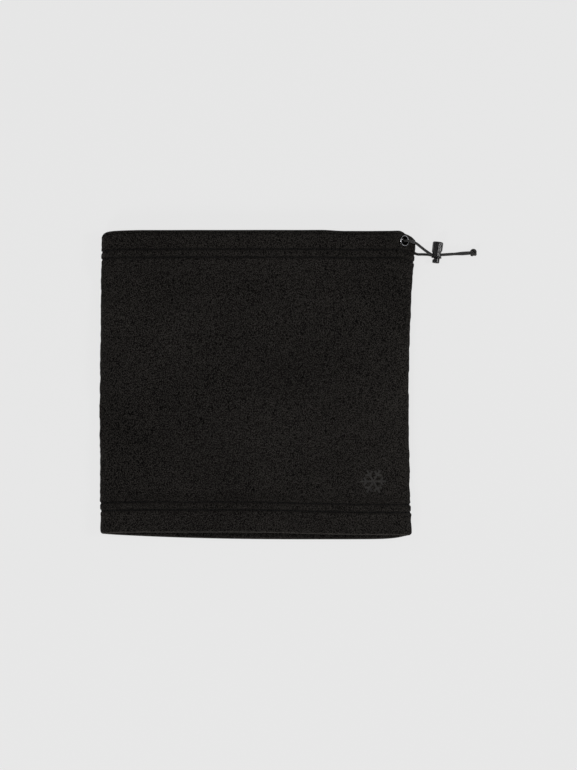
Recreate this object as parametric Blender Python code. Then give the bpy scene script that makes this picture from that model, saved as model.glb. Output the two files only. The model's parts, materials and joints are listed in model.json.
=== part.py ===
"""Neck gaiter: a flat-lying tube of polar fleece with a stitched hem at each end.

An elastic drawcord runs in the top hem, leaves it through a metal eyelet on the front and one on
the back, and both ends pass through a spring cord lock to a shared knot.

Frame: metres, +X across the flattened tube, +Y along the tube towards the drawcord hem, +Z up.
The tube lies on Z = 0 and the origin is under the middle of its bounding box.
"""

import math

import bmesh
import bpy
from mathutils import Matrix, Vector

MM = 0.001
GAP = 0.3 * MM  # free space kept between pieces that touch

# Fleece tube
LENGTH = 249 * MM  # folded edge to folded edge
PLY = 1.8 * MM  # one layer of fleece
HALF_LENGTH = LENGTH / 2
END_REACH = 14 * MM  # width over which the flat faces curve down to a side fold
BODY_HEIGHT = 12.8 * MM
TOP_HEM_HEIGHT = 17.4 * MM
BOTTOM_HEM_HEIGHT = 15.6 * MM
LEFT_FOLD, RIGHT_FOLD = -126.5 * MM, 123.4 * MM  # X of the side folds halfway up
CORNER_LIFT = 3.2 * MM  # the hardware holds the top right corner off the table
TUCK = 10 * MM  # the hem's inner ply stops this far short of the right fold

# Hems, as distances from the folded edge
NEEDLE_GAUGE = 6.5 * MM
TOP_ROW, TOP_TURNING = 15.4 * MM, 24.6 * MM
BOTTOM_ROW, BOTTOM_TURNING = 18.3 * MM, 27.6 * MM
CHANNEL = 2.8 * MM  # room for the cord between the hem's plies
PINCH = 1.0 * MM  # depth of the groove that a row of stitches pulls in
PINCHED_PLY = 1.2 * MM
THREAD = 0.5 * MM

# Drawcord
CORD = 2.2 * MM
CORD_INSET = 7.5 * MM  # from the folded edge to the cord and the eyelets
STRAND_OFFSET = 1.2 * MM  # from the pair's middle to each strand
KNOT_WIDTH = 5.6 * MM

# Eyelets
EYELET_ACROSS = 118.8 * MM
EYELET_HOLE = 2.7 * MM
EYELET_BARREL = 3.05 * MM
EYELET_FLANGE = 4.4 * MM
EYELET_DEPTH = 4.45 * MM
WASHER_RIM = 3.7 * MM
TWIST_FRONT, TWIST_BACK = math.radians(28), math.radians(12)
TWIST_CORE, TWIST_REACH = 5.5 * MM, 14 * MM

# Cord lock
LOCK_CENTRE = Vector((146.1, 104.9, 4.4)) * MM  # where the strands cross its axis
LOCK_TILT = math.radians(7)
CORD_RISE = math.radians(3.9)  # slope of the two strands beyond the lock, in plan
LOCK_RADIUS = 4.3 * MM
LOCK_BORE = 3.4 * MM
LOCK_RIM, LOCK_TOP = -2.6 * MM, 10.9 * MM  # along its axis, from the cord
LOCK_END_WALL = 1.1 * MM
PLUNGER_RADIUS = 3.1 * MM
PLUNGER_HEAD_RADIUS = 2.9 * MM
PLUNGER_END, PLUNGER_TOP = -6.5 * MM, 3.0 * MM
PLUNGER_TRAVEL = 1.8 * MM
CORD_HOLE_WIDTH = 5.1 * MM
CORD_HOLE_REST = 1.5 * MM  # from the cord's middle to the edges that grip it
SPRING_TURNS, SPRING_WIRE, SPRING_RADIUS = 6, 0.5 * MM, 2.3 * MM

CORD_WAY = Vector((math.cos(CORD_RISE), math.sin(CORD_RISE), 0))
KNOT_REACH = 29.9 * MM  # from the lock's axis to the knot
KNOT_DROP = 1.4 * MM  # the knot rests on the table, lower than the lock's axis
KNOT_CENTRE = LOCK_CENTRE + KNOT_REACH * CORD_WAY - Vector((0, 0, KNOT_DROP))

# Sewn-in pieces
SEAM_WIDTH, SEAM_HEIGHT = 7.2 * MM, 3.0 * MM
LABEL_LENGTH, LABEL_WIDTH = 20 * MM, 30 * MM
EMBLEM_CENTRE = Vector((94.5 * MM, -78.2 * MM))
EMBLEM_RADIUS = 10.5 * MM
FILM = 0.25 * MM

ROUND_SEGMENTS = 24
FRONT, BACK = math.pi / 2, -math.pi / 2


# ---------------------------------------------------------------- helpers

def clear_scene():
    for old in list(bpy.data.objects):
        bpy.data.objects.remove(old, do_unlink=True)


def material(name, colour, roughness, metallic=0.0):
    made = bpy.data.materials.new(name)
    made.use_nodes = True
    shader = made.node_tree.nodes["Principled BSDF"]
    shader.inputs["Base Color"].default_value = (*colour, 1)
    shader.inputs["Roughness"].default_value = roughness
    shader.inputs["Metallic"].default_value = metallic
    made.diffuse_color = (*colour, 1)
    return made


def add_object(name, data, finish, place=None, parent=None):
    """Links a new object at a world matrix, or at its parent's own place."""
    if finish:
        data.materials.append(finish)
    made = bpy.data.objects.new(name, data)
    bpy.context.scene.collection.objects.link(made)
    if parent:
        made.parent = parent
    elif place:
        made.matrix_world = place
    return made


def add_mesh(name, points, faces, finish, place=None, parent=None, sharp_angle=None):
    """A mesh object from points and faces, with its faces turned outwards."""
    mesh = bpy.data.meshes.new(name)
    mesh.from_pydata([tuple(p) for p in points], [], faces)
    solid = bmesh.new()
    solid.from_mesh(mesh)
    bmesh.ops.recalc_face_normals(solid, faces=solid.faces)
    if solid.calc_volume(signed=True) < 0:
        bmesh.ops.reverse_faces(solid, faces=solid.faces)
    solid.to_mesh(mesh)
    solid.free()
    if sharp_angle is not None:
        mesh.shade_smooth()
        mesh.set_sharp_from_angle(angle=sharp_angle)
    return add_object(name, mesh, finish, place, parent)


def smooth(low, high, value):
    """0 below low, 1 above high, and an even curve between them."""
    t = min(1.0, max(0.0, (value - low) / (high - low)))
    return t * t * (3 - 2 * t)


def spun(name, profile, finish, place=None, parent=None, segments=ROUND_SEGMENTS):
    """A ring or solid turned about local Z from (radius, along) points; radius 0 makes a pole."""
    points, rows = [], []
    for radius, along in profile:
        if radius == 0:
            rows.append([len(points)] * segments)
            points.append((0, 0, along))
            continue
        rows.append([len(points) + k for k in range(segments)])
        for k in range(segments):
            angle = math.tau * k / segments
            points.append((radius * math.cos(angle), radius * math.sin(angle), along))
    closed = all(radius > 0 for radius, _ in profile)
    pairs = zip(rows, rows[1:] + rows[:1]) if closed else zip(rows, rows[1:])
    faces = []
    for row, following in pairs:
        for k in range(segments):
            j = (k + 1) % segments
            corners = [row[k], row[j], following[j], following[k]]
            faces.append(list(dict.fromkeys(corners)))
    return add_mesh(name, points, faces, finish, place, parent, math.radians(40))


def cut(target, name, outline, low, high, place):
    """Takes an outline, extruded along local Z from low to high, out of target."""
    cutter = add_mesh(name, *prism(outline, low, high), None, place)
    cutter.hide_render = True
    cutter.display_type = "WIRE"
    tool = target.modifiers.new(name, "BOOLEAN")
    tool.operation = "DIFFERENCE"
    tool.solver = "EXACT"
    tool.object = cutter


def prism(outline, low, high):
    """Points and faces of an outline in local XY, extruded along local Z."""
    count = len(outline)
    points = [(x, y, z) for z in (low, high) for x, y in outline]
    faces = [list(range(count)), list(range(count, 2 * count))]
    for k in range(count):
        j = (k + 1) % count
        faces.append([k, j, count + j, count + k])
    return points, faces


def circle(radius, segments=ROUND_SEGMENTS):
    turn = math.tau / segments
    return [(radius * math.cos(k * turn), radius * math.sin(k * turn)) for k in range(segments)]


# ---------------------------------------------------------------- shape of the laid-out tube

def height_at(y):
    """Height of the tube's upper face above the table."""
    top = smooth(82 * MM, 103 * MM, y) * (TOP_HEM_HEIGHT - BODY_HEIGHT)
    bottom = smooth(91 * MM, 101 * MM, -y) * (BOTTOM_HEM_HEIGHT - BODY_HEIGHT)
    return BODY_HEIGHT + top + bottom


def folds_at(y):
    """X of the left and right side folds: the left bulges a little and the right draws in."""
    t = y / HALF_LENGTH
    left = LEFT_FOLD + (1.3 * t * t + 0.6 * t) * MM
    right = RIGHT_FOLD + (3.8 * t * t + 1.7 * t) * MM
    return left, right


def edge_shift(x, y, frontness):
    """How far a point moves along Y, because neither open edge of the tube is straight.

    The top edge drops and the bottom edge rises, in millimetres, by amounts that differ between
    the front face and the back one.
    """
    left, right = folds_at(y)
    near_right = max(0.0, 1 - (right - x) / END_REACH)
    near_left = max(0.0, 1 - (x - left) / (36 * MM))
    front_drop = 9.0 * near_right**2
    back_drop = 2.0 * smooth(0, 0.6, near_right)
    dip = 0.8 * smooth(52 * MM, 72 * MM, x) + 1.6 * near_left**2 + 1.6 * near_left**12
    drop = back_drop + (front_drop - back_drop) * frontness + dip
    leftwards, rightwards = max(0.0, (40 * MM - x) / (165 * MM)), max(0.0, (x - 40 * MM) / (84 * MM))
    back_rise = 4.3 * leftwards**2.2 + 3.6 * rightwards**8 - 1.3
    front_rise = 5.3 - 0.7 * near_left - 2.3 * smooth(-20 * MM, 110 * MM, x)
    rise = back_rise + (front_rise - back_rise) * frontness
    return rise * MM * smooth(45 * MM, 108 * MM, -y) - drop * MM * smooth(70 * MM, HALF_LENGTH, y)


def laid(across, angle, y, depth, tuck=0.0):
    """A point of the tube before the corner is lifted and the eyelets tilt it.

    across is -1 to 1 between the two ends' centres. angle is FRONT or BACK on the flat faces and
    turns through 0 at the right fold and pi at the left one. depth is inwards from the outer face.
    """
    left, right = folds_at(y)
    low, high = left + END_REACH, right - END_REACH - TUCK * tuck
    x = low + (high - low) * (across + 1) / 2 + (END_REACH - depth) * math.cos(angle)
    half = height_at(y) / 2
    z = half + (half - depth) * math.sin(angle)
    return Vector((x, y + edge_shift(x, y, (1 + math.sin(angle)) / 2), z))


def lifted(p):
    lift = CORNER_LIFT * smooth(86 * MM, 122 * MM, p.x) * smooth(66 * MM, 108 * MM, p.y)
    return Vector((p.x, p.y, p.z + lift))


def twisted(p, centre, angle):
    """Turns the cloth about an eyelet's centre, fading out with distance, so that it tilts."""
    offset = p - centre
    share = 1 - smooth(TWIST_CORE, TWIST_REACH, offset.length)
    return centre + Matrix.Rotation(angle * share, 3, "Y") @ offset


def eyelet_base(side):
    """An eyelet's centre on the lifted outer face, and the face's outward normal there."""
    y = HALF_LENGTH - CORD_INSET
    reach = (EYELET_ACROSS - folds_at(y)[1] + END_REACH) / END_REACH
    turn = math.copysign(math.acos(reach), side)

    def at(angle, along):
        return lifted(laid(1, angle, along, 0))

    step = 0.02
    over = at(turn + step, y) - at(turn - step, y)
    along = at(turn, y + MM) - at(turn, y - MM)
    normal = over.cross(along).normalized()
    centre = at(turn, y)
    outward = 1 if side > 0 else -1
    return centre, normal if normal.z * outward > 0 else -normal


FRONT_CENTRE, FRONT_NORMAL = eyelet_base(FRONT)
BACK_CENTRE, BACK_NORMAL = eyelet_base(BACK)


def placed(p):
    """The final place of a point that laid() gives."""
    p = twisted(lifted(p), FRONT_CENTRE, TWIST_FRONT)
    return twisted(p, BACK_CENTRE, -TWIST_BACK)


def eyelet_matrix(side):
    """Local Z is the eyelet's outward axis, and local X points down its slope, away from the tube."""
    if side == FRONT:
        centre, normal, twist = FRONT_CENTRE, FRONT_NORMAL, TWIST_FRONT
    else:
        centre, normal, twist = BACK_CENTRE, BACK_NORMAL, -TWIST_BACK
    axis = Matrix.Rotation(twist, 3, "Y") @ normal
    downhill = (Vector((0, 1, 0)).cross(axis)).normalized()
    if downhill.x < 0:
        downhill = -downhill
    sideways = axis.cross(downhill)
    turn = Matrix((downhill, sideways, axis)).transposed()
    return Matrix.Translation(centre) @ turn.to_4x4()


def stations():
    """(across, angle) round the tube, closest together at the corner with the eyelets."""
    flat = [-1, -0.8, -0.5, -0.2, 0.1, 0.4, 0.62, 0.74, 0.81, 0.86, 0.9, 0.93, 0.955, 0.978]
    right = [math.radians(a) for a in (90, 76, 63, 51, 39, 26, 13)]
    left = [math.radians(a) for a in (70, 51, 33, 16)]
    ring = [(u, FRONT) for u in flat]
    ring += [(1, a) for a in right] + [(1, 0.0)] + [(1, -a) for a in reversed(right)]
    ring += [(u, BACK) for u in reversed(flat)]
    ring += [(-1, a - math.pi) for a in left] + [(-1, math.pi)]
    ring += [(-1, math.pi - a) for a in reversed(left)]
    return ring


STATIONS = stations()


def swept(name, profile, finish, sharp_angle=None):
    """A closed ring of cloth or thread: a (y, depth, tuck) outline carried round the tube.

    Every patch is split the same way by Y, so that thin layers stay parallel where they twist.
    """
    points = [placed(laid(u, a, y, d, t)) for u, a in STATIONS for y, d, t in profile]
    count, turns = len(profile), len(STATIONS)
    faces = []
    for s in range(turns):
        here, there = s * count, (s + 1) % turns * count
        for k in range(count):
            j = (k + 1) % count
            if profile[k][0] > profile[j][0]:
                faces += [(here + k, here + j, there + j), (here + k, there + j, there + k)]
            else:
                faces += [(here + k, here + j, there + k), (here + j, there + j, there + k)]
    return add_mesh(name, points, faces, finish, sharp_angle=sharp_angle)


# ---------------------------------------------------------------- fleece

def hem_fold(outer_radius, inner_radius, steps, tucks):
    """The two round faces of a folded edge, as (inset, depth, tuck) points from outside to inside."""
    outer, inner = [], []
    for k in range(steps + 1):
        angle = math.pi * k / steps
        tuck = (1 - math.cos(angle)) / 2 if tucks else 0.0
        for radius, row in ((outer_radius, outer), (inner_radius, inner)):
            inset = outer_radius - radius * math.sin(angle)
            row.append((inset, outer_radius - radius * math.cos(angle), tuck))
    return outer, inner


def groove(row):
    """Outer-face points across one row of stitches."""
    side = 1.6 * MM
    return [(row - side, 0.1 * MM, 0), (row, PINCH, 0), (row + side, 0.1 * MM, 0)]


def hem(row, turning, channel, tucks):
    """Half of the tube's outline at one hem, as two lists of (inset, depth, tuck).

    The first runs along the outer face towards the folded edge. The second runs back inside: down
    the inner ply to its raw edge, up the slit to the cord channel, and down the outer ply's inside.
    """
    tuck = 1.0 if tucks else 0.0
    outer_radius, inner_radius = PLY + channel / 2, channel / 2
    outer_fold, inner_fold = hem_fold(outer_radius, inner_radius, 4, tucks)
    far_row, middle = row + NEEDLE_GAUGE, row + NEEDLE_GAUGE / 2
    pressed = PINCH + PINCHED_PLY
    full = 2 * PLY + channel
    open_end = row - 3.2 * MM
    outside = groove(far_row)[::-1] + groove(row)[::-1]
    outside += [(inset * MM, 0, 0) for inset in (10.5, 5.5)] + outer_fold
    inside = [(10.0 * MM, full, tuck), (open_end, full - 0.7 * MM, 0.6 * tuck)]
    inside += [(row, pressed + GAP + PINCHED_PLY, 0), (middle, 2 * PLY + GAP + 0.3 * MM, 0)]
    inside += [(far_row, pressed + GAP + PINCHED_PLY, 0), (turning, pressed + GAP + PLY, 0)]
    inside += [(turning, pressed + GAP, 0), (far_row, pressed + GAP, 0), (middle, pressed + GAP, 0)]
    inside += [(row, pressed + GAP, 0)]
    if channel > 2 * GAP:
        inside += [(open_end, PLY + 0.9 * channel, 0.6 * tuck), (10.0 * MM, PLY + channel, tuck)]
        inside += [(6.5 * MM, PLY + channel, tuck)]
    inside += inner_fold[::-1]
    inside += [(6.5 * MM, PLY, 0), (10.0 * MM, PLY, 0), (row, pressed, 0)]
    inside += [(middle, pressed, 0), (far_row, pressed, 0)]
    inside += [(turning + 2 * MM, PLY, 0)]
    return outside, inside


def fleece_tube(finish):
    top_outside, top_inside = hem(TOP_ROW, TOP_TURNING, CHANNEL, True)
    bottom_outside, bottom_inside = hem(BOTTOM_ROW, BOTTOM_TURNING, 1.5 * GAP, False)

    def top(points):
        return [(HALF_LENGTH - inset, depth, tuck) for inset, depth, tuck in points]

    def bottom(points):
        return [(inset - HALF_LENGTH, depth, tuck) for inset, depth, tuck in points]

    outer_body = [(y * MM, 0, 0) for y in (-95, -91, -52, -15, 25, 60, 80, 94)]
    inner_body = [(y * MM, PLY, 0) for y in (80, 60, 25, -15, -50, -76)]
    profile = bottom(bottom_outside[::-1]) + outer_body + top(top_outside)
    profile += top(top_inside) + inner_body + bottom(bottom_inside[::-1])
    tube = swept("fleece_tube", profile, finish, math.radians(60))
    hole = circle(EYELET_BARREL + 0.35 * MM)
    for name, side in (("front_hole", FRONT), ("back_hole", BACK)):
        cut(tube, name, hole, -3.6 * MM, 3 * MM, eyelet_matrix(side))


def stitch_row(name, y, finish):
    """A row of needle thread, lying in its groove."""
    half, middle = THREAD / 2, PINCH - GAP - THREAD / 2
    profile = [(y + half, middle, 0), (y, middle + half, 0), (y - half, middle, 0), (y, middle - half, 0)]
    swept(name, profile, finish)


def cover_thread(name, edge, row, turning, finish):
    """The looper threads that cover the hem's raw edge inside; edge is +1 at the top hem."""
    pressed = PINCH + 2 * PINCHED_PLY + GAP
    steps = [
        (row, pressed),
        (row + NEEDLE_GAUGE / 2, 2 * PLY + GAP + 0.3 * MM),
        (row + NEEDLE_GAUGE, pressed),
        (turning - 0.4 * MM, pressed + 0.6 * MM),
    ]
    thickness = 0.35 * MM
    near = [(edge * (HALF_LENGTH - inset), depth + GAP, 0) for inset, depth in steps]
    far = [(y, depth + thickness, 0) for y, depth, _ in reversed(near)]
    swept(name, near + far, finish)


# ---------------------------------------------------------------- sewn-in pieces

# Turns an outline's XY into X and height, and its extrusion to run along the tube.
ALONG_TUBE = Matrix.Rotation(math.radians(90), 4, "X")


def back_seam(fleece, thread):
    """The two turned-in edges of the fleece at the centre back, and the overlock threads on them."""
    low, high = -HALF_LENGTH + BOTTOM_TURNING + 1.5 * MM, HALF_LENGTH - TOP_TURNING - 1.5 * MM
    floor, roof = PLY + GAP, PLY + GAP + SEAM_HEIGHT
    half, corner = SEAM_WIDTH / 2, 1.0 * MM
    section = [(-half, floor), (half, floor), (half, roof - corner), (half - corner, roof)]
    section += [(corner - half, roof), (-half, roof - corner)]
    add_mesh("back_seam_allowance", *prism(section, -high, -low), fleece, ALONG_TUBE)
    edge, skin = half + GAP, 0.35 * MM
    wrap = [(-1.5 * MM, roof + GAP), (edge, roof + GAP), (edge, floor + GAP)]
    wrap += [(edge + skin, floor + GAP), (edge + skin, roof + GAP + skin), (-1.5 * MM, roof + GAP + skin)]
    add_mesh("back_seam_overlock_thread", *prism(wrap, -high, -low), thread, ALONG_TUBE)


def care_label(finish):
    """A folded satin label, held by the back seam and lying flat inside the tube."""
    thickness, inner, middle_y = 0.2 * MM, 0.4 * MM, -62 * MM
    open_end = -SEAM_WIDTH / 2 - 0.5 * MM
    fold = open_end - LABEL_LENGTH
    low = PLY + GAP
    high = low + 2 * thickness + inner
    section = [(open_end, low), (open_end, low + thickness), (fold + thickness, low + thickness)]
    section += [(fold + thickness, high - thickness), (open_end, high - thickness)]
    section += [(open_end, high), (fold, high), (fold, low)]
    ends = -middle_y - LABEL_WIDTH / 2, -middle_y + LABEL_WIDTH / 2
    add_mesh("care_label", *prism(section, *ends), finish, ALONG_TUBE)


def snowflake_outline():
    """Six arms, each with a pair of side branches, as one closed outline."""
    bar, length = 1.5 * MM, EMBLEM_RADIUS
    branch_at, branch = 0.55 * length, 0.36 * length
    lean = math.radians(60)
    along, out = Vector((math.cos(lean), math.sin(lean))), Vector((-math.sin(lean), math.cos(lean)))
    tip = Vector((branch_at, 0)) + branch * along
    root = bar / 2 / math.sin(lean)
    side = [
        Vector((branch_at - root + bar / 2 / math.tan(lean), bar / 2)),
        tip + out * bar / 2,
        tip - out * bar / 2,
        Vector((branch_at + root + bar / 2 / math.tan(lean), bar / 2)),
        Vector((length, bar / 2)),
    ]
    arm = [Vector((p.x, -p.y)) for p in side] + side[::-1]
    notch = Vector((bar * math.cos(math.radians(30)), bar / 2))
    outline = []
    for k in range(6):
        turn = Matrix.Rotation(math.radians(60 * k), 2)
        outline += [turn @ p for p in arm] + [turn @ notch]
    return [(p.x, p.y) for p in outline]


def snowflake_transfer(finish):
    """A thin printed film on the front, near the lower right corner."""
    place = Matrix.Translation((*EMBLEM_CENTRE, height_at(EMBLEM_CENTRE.y) + GAP))
    add_mesh("snowflake_transfer", *prism(snowflake_outline(), 0, FILM), finish, place)


# ---------------------------------------------------------------- eyelets

def eyelet(name, side, metal):
    """A rolled metal eyelet through the outer ply, and its washer on the inside."""
    dome = 0.7 * MM
    body = [
        (EYELET_HOLE, 0.75 * MM),
        (EYELET_HOLE + 0.3 * MM, GAP + dome),
        (EYELET_FLANGE - 0.7 * MM, GAP + dome),
        (EYELET_FLANGE, GAP + 0.25 * MM),
        (EYELET_FLANGE, GAP),
        (EYELET_BARREL, GAP),
        (EYELET_BARREL, -EYELET_DEPTH + 0.45 * MM),
        (EYELET_BARREL + 0.65 * MM, -EYELET_DEPTH + 0.45 * MM),
        (EYELET_BARREL + 0.5 * MM, -EYELET_DEPTH),
        (EYELET_HOLE, -EYELET_DEPTH),
    ]
    spun(name, body, metal, eyelet_matrix(side))
    top = -EYELET_DEPTH + 0.45 * MM + GAP + 0.35 * MM
    inner, thickness = EYELET_BARREL + GAP, 0.35 * MM
    washer = [(inner, top), (WASHER_RIM, top), (WASHER_RIM, top - thickness), (inner, top - thickness)]
    spun(name + "_washer", washer, metal, eyelet_matrix(side))


# ---------------------------------------------------------------- drawcord

def smooth_line(route, spacing):
    """Evenly spaced points on a smooth (Catmull-Rom) curve through a route's points."""
    ends = [2 * route[0] - route[1], *route, 2 * route[-1] - route[-2]]
    fine = []
    for a, b, c, d in zip(ends, ends[1:], ends[2:], ends[3:]):
        for k in range(12):
            t = k / 12
            fine.append(
                b + 0.5 * ((c - a) * t + (2 * a - 5 * b + 4 * c - d) * t**2 + (3 * b - a - 3 * c + d) * t**3)
            )
    fine.append(route[-1])
    along = [0.0]
    for a, b in zip(fine, fine[1:]):
        along.append(along[-1] + (b - a).length)
    count = max(2, round(along[-1] / spacing))
    even, k = [], 0
    for step in range(count + 1):
        target = along[-1] * step / count
        while k < len(fine) - 2 and along[k + 1] < target:
            k += 1
        share = (target - along[k]) / max(along[k + 1] - along[k], 1e-9)
        even.append(fine[k].lerp(fine[k + 1], min(1.0, share)))
    return even


def round_wire(name, line, radius, resolution, finish, parent=None):
    """A round tube with closed ends along a line of points."""
    curve = bpy.data.curves.new(name, "CURVE")
    curve.dimensions = "3D"
    curve.bevel_depth = radius
    curve.bevel_resolution = resolution
    curve.use_fill_caps = True
    spline = curve.splines.new("POLY")
    spline.points.add(len(line) - 1)
    for point, place in zip(spline.points, line):
        point.co = (*place, 1)
    add_object(name, curve, finish, parent=parent)


def cord_tube(name, line, finish):
    round_wire(name, line, CORD / 2, 2, finish)


def channel_point(across, angle):
    """The middle of the cord channel at one station."""
    return placed(laid(across, angle, HALF_LENGTH - CORD_INSET, PLY + CHANNEL / 2))


CHANNEL_END = 0.93  # across, where the hem's stretch of cord gives way to the tails
CHANNEL_EXIT = 0.955  # across, where a tail leaves the channel's middle for its eyelet


def drawcord_in_hem(finish):
    """The stretch of cord inside the hem, round the left side from one eyelet to the other."""
    ways = [CHANNEL_END, 0.9] + [0.86 - 0.064 * k for k in range(29)]
    front = [channel_point(across, FRONT) for across in ways]
    left = [channel_point(-1, math.pi / 2 + math.pi * k / 12) for k in range(13)]
    back = [channel_point(across, BACK) for across in reversed(ways)]
    cord_tube("drawcord_in_hem", front + left + back, finish)


def strand(side, beyond, turn=0.0):
    """A point on one strand of the pair, beyond metres past the lock; turn rolls the pair."""
    up = Vector((0, 0, 1))
    way = math.copysign(STRAND_OFFSET, side)
    offset = way * (math.cos(turn) * up + math.sin(turn) * CORD_WAY.cross(up))
    drop = KNOT_DROP * smooth(7 * MM, 27 * MM, beyond)
    return LOCK_CENTRE + CORD_WAY * beyond + offset - drop * up


def tail_route(side):
    """From the hem channel through an eyelet, down to the lock, and on to the knot."""
    frame = eyelet_matrix(side)
    inner = [channel_point(across, side) for across in (CHANNEL_END + 0.012, CHANNEL_EXIT)]
    threading = [(-3.3, 0, -6.1), (-1.5, 0, -5.2), (-0.3, 0, -2.9), (0.6, 0, -0.3), (2.1, 0, 2.2)]
    threading.append((4.7, -0.5, 3.1) if side == FRONT else (4.3, 1.0, 3.0))
    route = inner + [frame @ (Vector(p) * MM) for p in threading]
    if side == FRONT:
        loose = [(128.5, 113.7, 16.1), (132.8, 110.9, 12.5), (137.1, 108.0, 8.9), (140.8, 105.9, 6.4)]
    else:
        loose = [(125.5, 111.4, 4.5), (126.8, 107.9, 3.8), (130.2, 105.8, 3.3), (135.0, 105.6, 3.2)]
        loose.append((139.4, 105.4, 3.2))
    route += [Vector(p) * MM for p in loose]
    turns = ((-3, 0), (0, 0), (4, 0), (8, 0), (12, 0), (15, 0.1), (19, 0.3), (22, 0.43), (26.8, 0.35))
    return route + [strand(side, beyond * MM, turn) for beyond, turn in turns]


def knot(finish):
    """The outer shape of the overhand knot that holds both ends together."""
    half = KNOT_WIDTH / 2
    steps = 8
    angles = [math.pi * k / steps for k in range(1, steps)]
    profile = [(0, -half)] + [(half * math.sin(a), -half * math.cos(a)) for a in angles] + [(0, half)]
    turn = Matrix.Rotation(CORD_RISE, 4, "Z") @ Matrix.Rotation(math.radians(90), 4, "Y")
    spun("drawcord_knot", profile, finish, Matrix.Translation(KNOT_CENTRE) @ turn, segments=14)


# ---------------------------------------------------------------- cord lock

# Local Z of the lock runs up its axis to the closed end, and local X lies across it, level.
LOCK_FRAME = (
    Matrix.Translation(LOCK_CENTRE)
    @ Matrix.Rotation(-LOCK_TILT, 4, "Z")
    @ Matrix.Rotation(math.radians(-90), 4, "X")
)
# Local Z of the cord hole runs along the strands; local Y is level, along the lock.
HOLE_FRAME = (
    Matrix.Translation(LOCK_CENTRE)
    @ Matrix.Rotation(CORD_RISE, 4, "Z")
    @ Matrix.Rotation(math.radians(90), 4, "Y")
)


def cord_hole(low, high):
    """An oval outline for the cord hole; low and high are along the lock."""
    half = CORD_HOLE_WIDTH / 2
    corner = 1.4 * MM
    outline = []
    for x, y, start in ((half, high, 0), (-half, high, 90), (-half, low, 180), (half, low, 270)):
        middle = Vector((math.copysign(half - corner, x), y - math.copysign(corner, y)))
        for k in range(4):
            angle = math.radians(start + 30 * k)
            outline.append((middle.x + corner * math.cos(angle), middle.y + corner * math.sin(angle)))
    return outline


def lock_barrel(finish, lock):
    """An eight-sided housing, closed at the top, with a bore for the plunger and a cord hole."""
    bevel, half_flat = 0.5 * MM, math.radians(17)
    radius = LOCK_RADIUS / math.cos(half_flat)
    angles = [math.radians(45 * k) + side for k in range(8) for side in (-half_flat, half_flat)]
    outline = [(radius * math.cos(a), radius * math.sin(a)) for a in angles]
    rings = ((LOCK_RIM, 0.93), (LOCK_RIM + bevel, 1), (LOCK_TOP - 2 * bevel, 1), (LOCK_TOP, 0.8))
    points = [(x * share, y * share, z) for z, share in rings for x, y in outline]
    count = len(outline)
    faces = [list(range(count)), list(range(3 * count, 4 * count))]
    for ring in range(3):
        for k in range(count):
            j, low, high = (k + 1) % count, ring * count, (ring + 1) * count
            faces.append([low + k, low + j, high + j, high + k])
    barrel = add_mesh("cord_lock_barrel", points, faces, finish, parent=lock, sharp_angle=math.radians(30))
    cut(barrel, "barrel_bore", circle(LOCK_BORE), LOCK_RIM - MM, LOCK_TOP - LOCK_END_WALL, LOCK_FRAME)
    hole = cord_hole(-CORD_HOLE_REST, CORD_HOLE_REST + 1.2 * MM)
    cut(barrel, "barrel_cord_hole", hole, -8 * MM, 8 * MM, HOLE_FRAME)


def lock_plunger(finish, lock):
    """The push button: a piston with a long cord slot, which the spring pushes out."""
    profile = [
        (0, PLUNGER_END),
        (PLUNGER_HEAD_RADIUS - 0.5 * MM, PLUNGER_END),
        (PLUNGER_HEAD_RADIUS, PLUNGER_END + 0.5 * MM),
        (PLUNGER_HEAD_RADIUS, LOCK_RIM - 0.5 * MM),
        (PLUNGER_RADIUS, LOCK_RIM - 0.1 * MM),
        (PLUNGER_RADIUS, PLUNGER_TOP - 0.4 * MM),
        (PLUNGER_RADIUS - 0.4 * MM, PLUNGER_TOP),
        (0, PLUNGER_TOP),
    ]
    plunger = spun("cord_lock_plunger", profile, finish, parent=lock)
    slot = cord_hole(-CORD_HOLE_REST - PLUNGER_TRAVEL, CORD_HOLE_REST)
    cut(plunger, "plunger_cord_slot", slot, -8 * MM, 8 * MM, HOLE_FRAME)


def lock_spring(finish, lock):
    """A compression spring between the plunger and the barrel's closed end."""
    low = PLUNGER_TOP + GAP + SPRING_WIRE / 2
    high = LOCK_TOP - LOCK_END_WALL - GAP - SPRING_WIRE / 2
    per_turn = 10
    steps = SPRING_TURNS * per_turn
    angles = [math.tau * k / per_turn for k in range(steps + 1)]
    line = [
        (SPRING_RADIUS * math.cos(angle), SPRING_RADIUS * math.sin(angle), low + (high - low) * k / steps)
        for k, angle in enumerate(angles)
    ]
    round_wire("cord_lock_spring", line, SPRING_WIRE / 2, 0, finish, lock)


# ---------------------------------------------------------------- assembly

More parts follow.
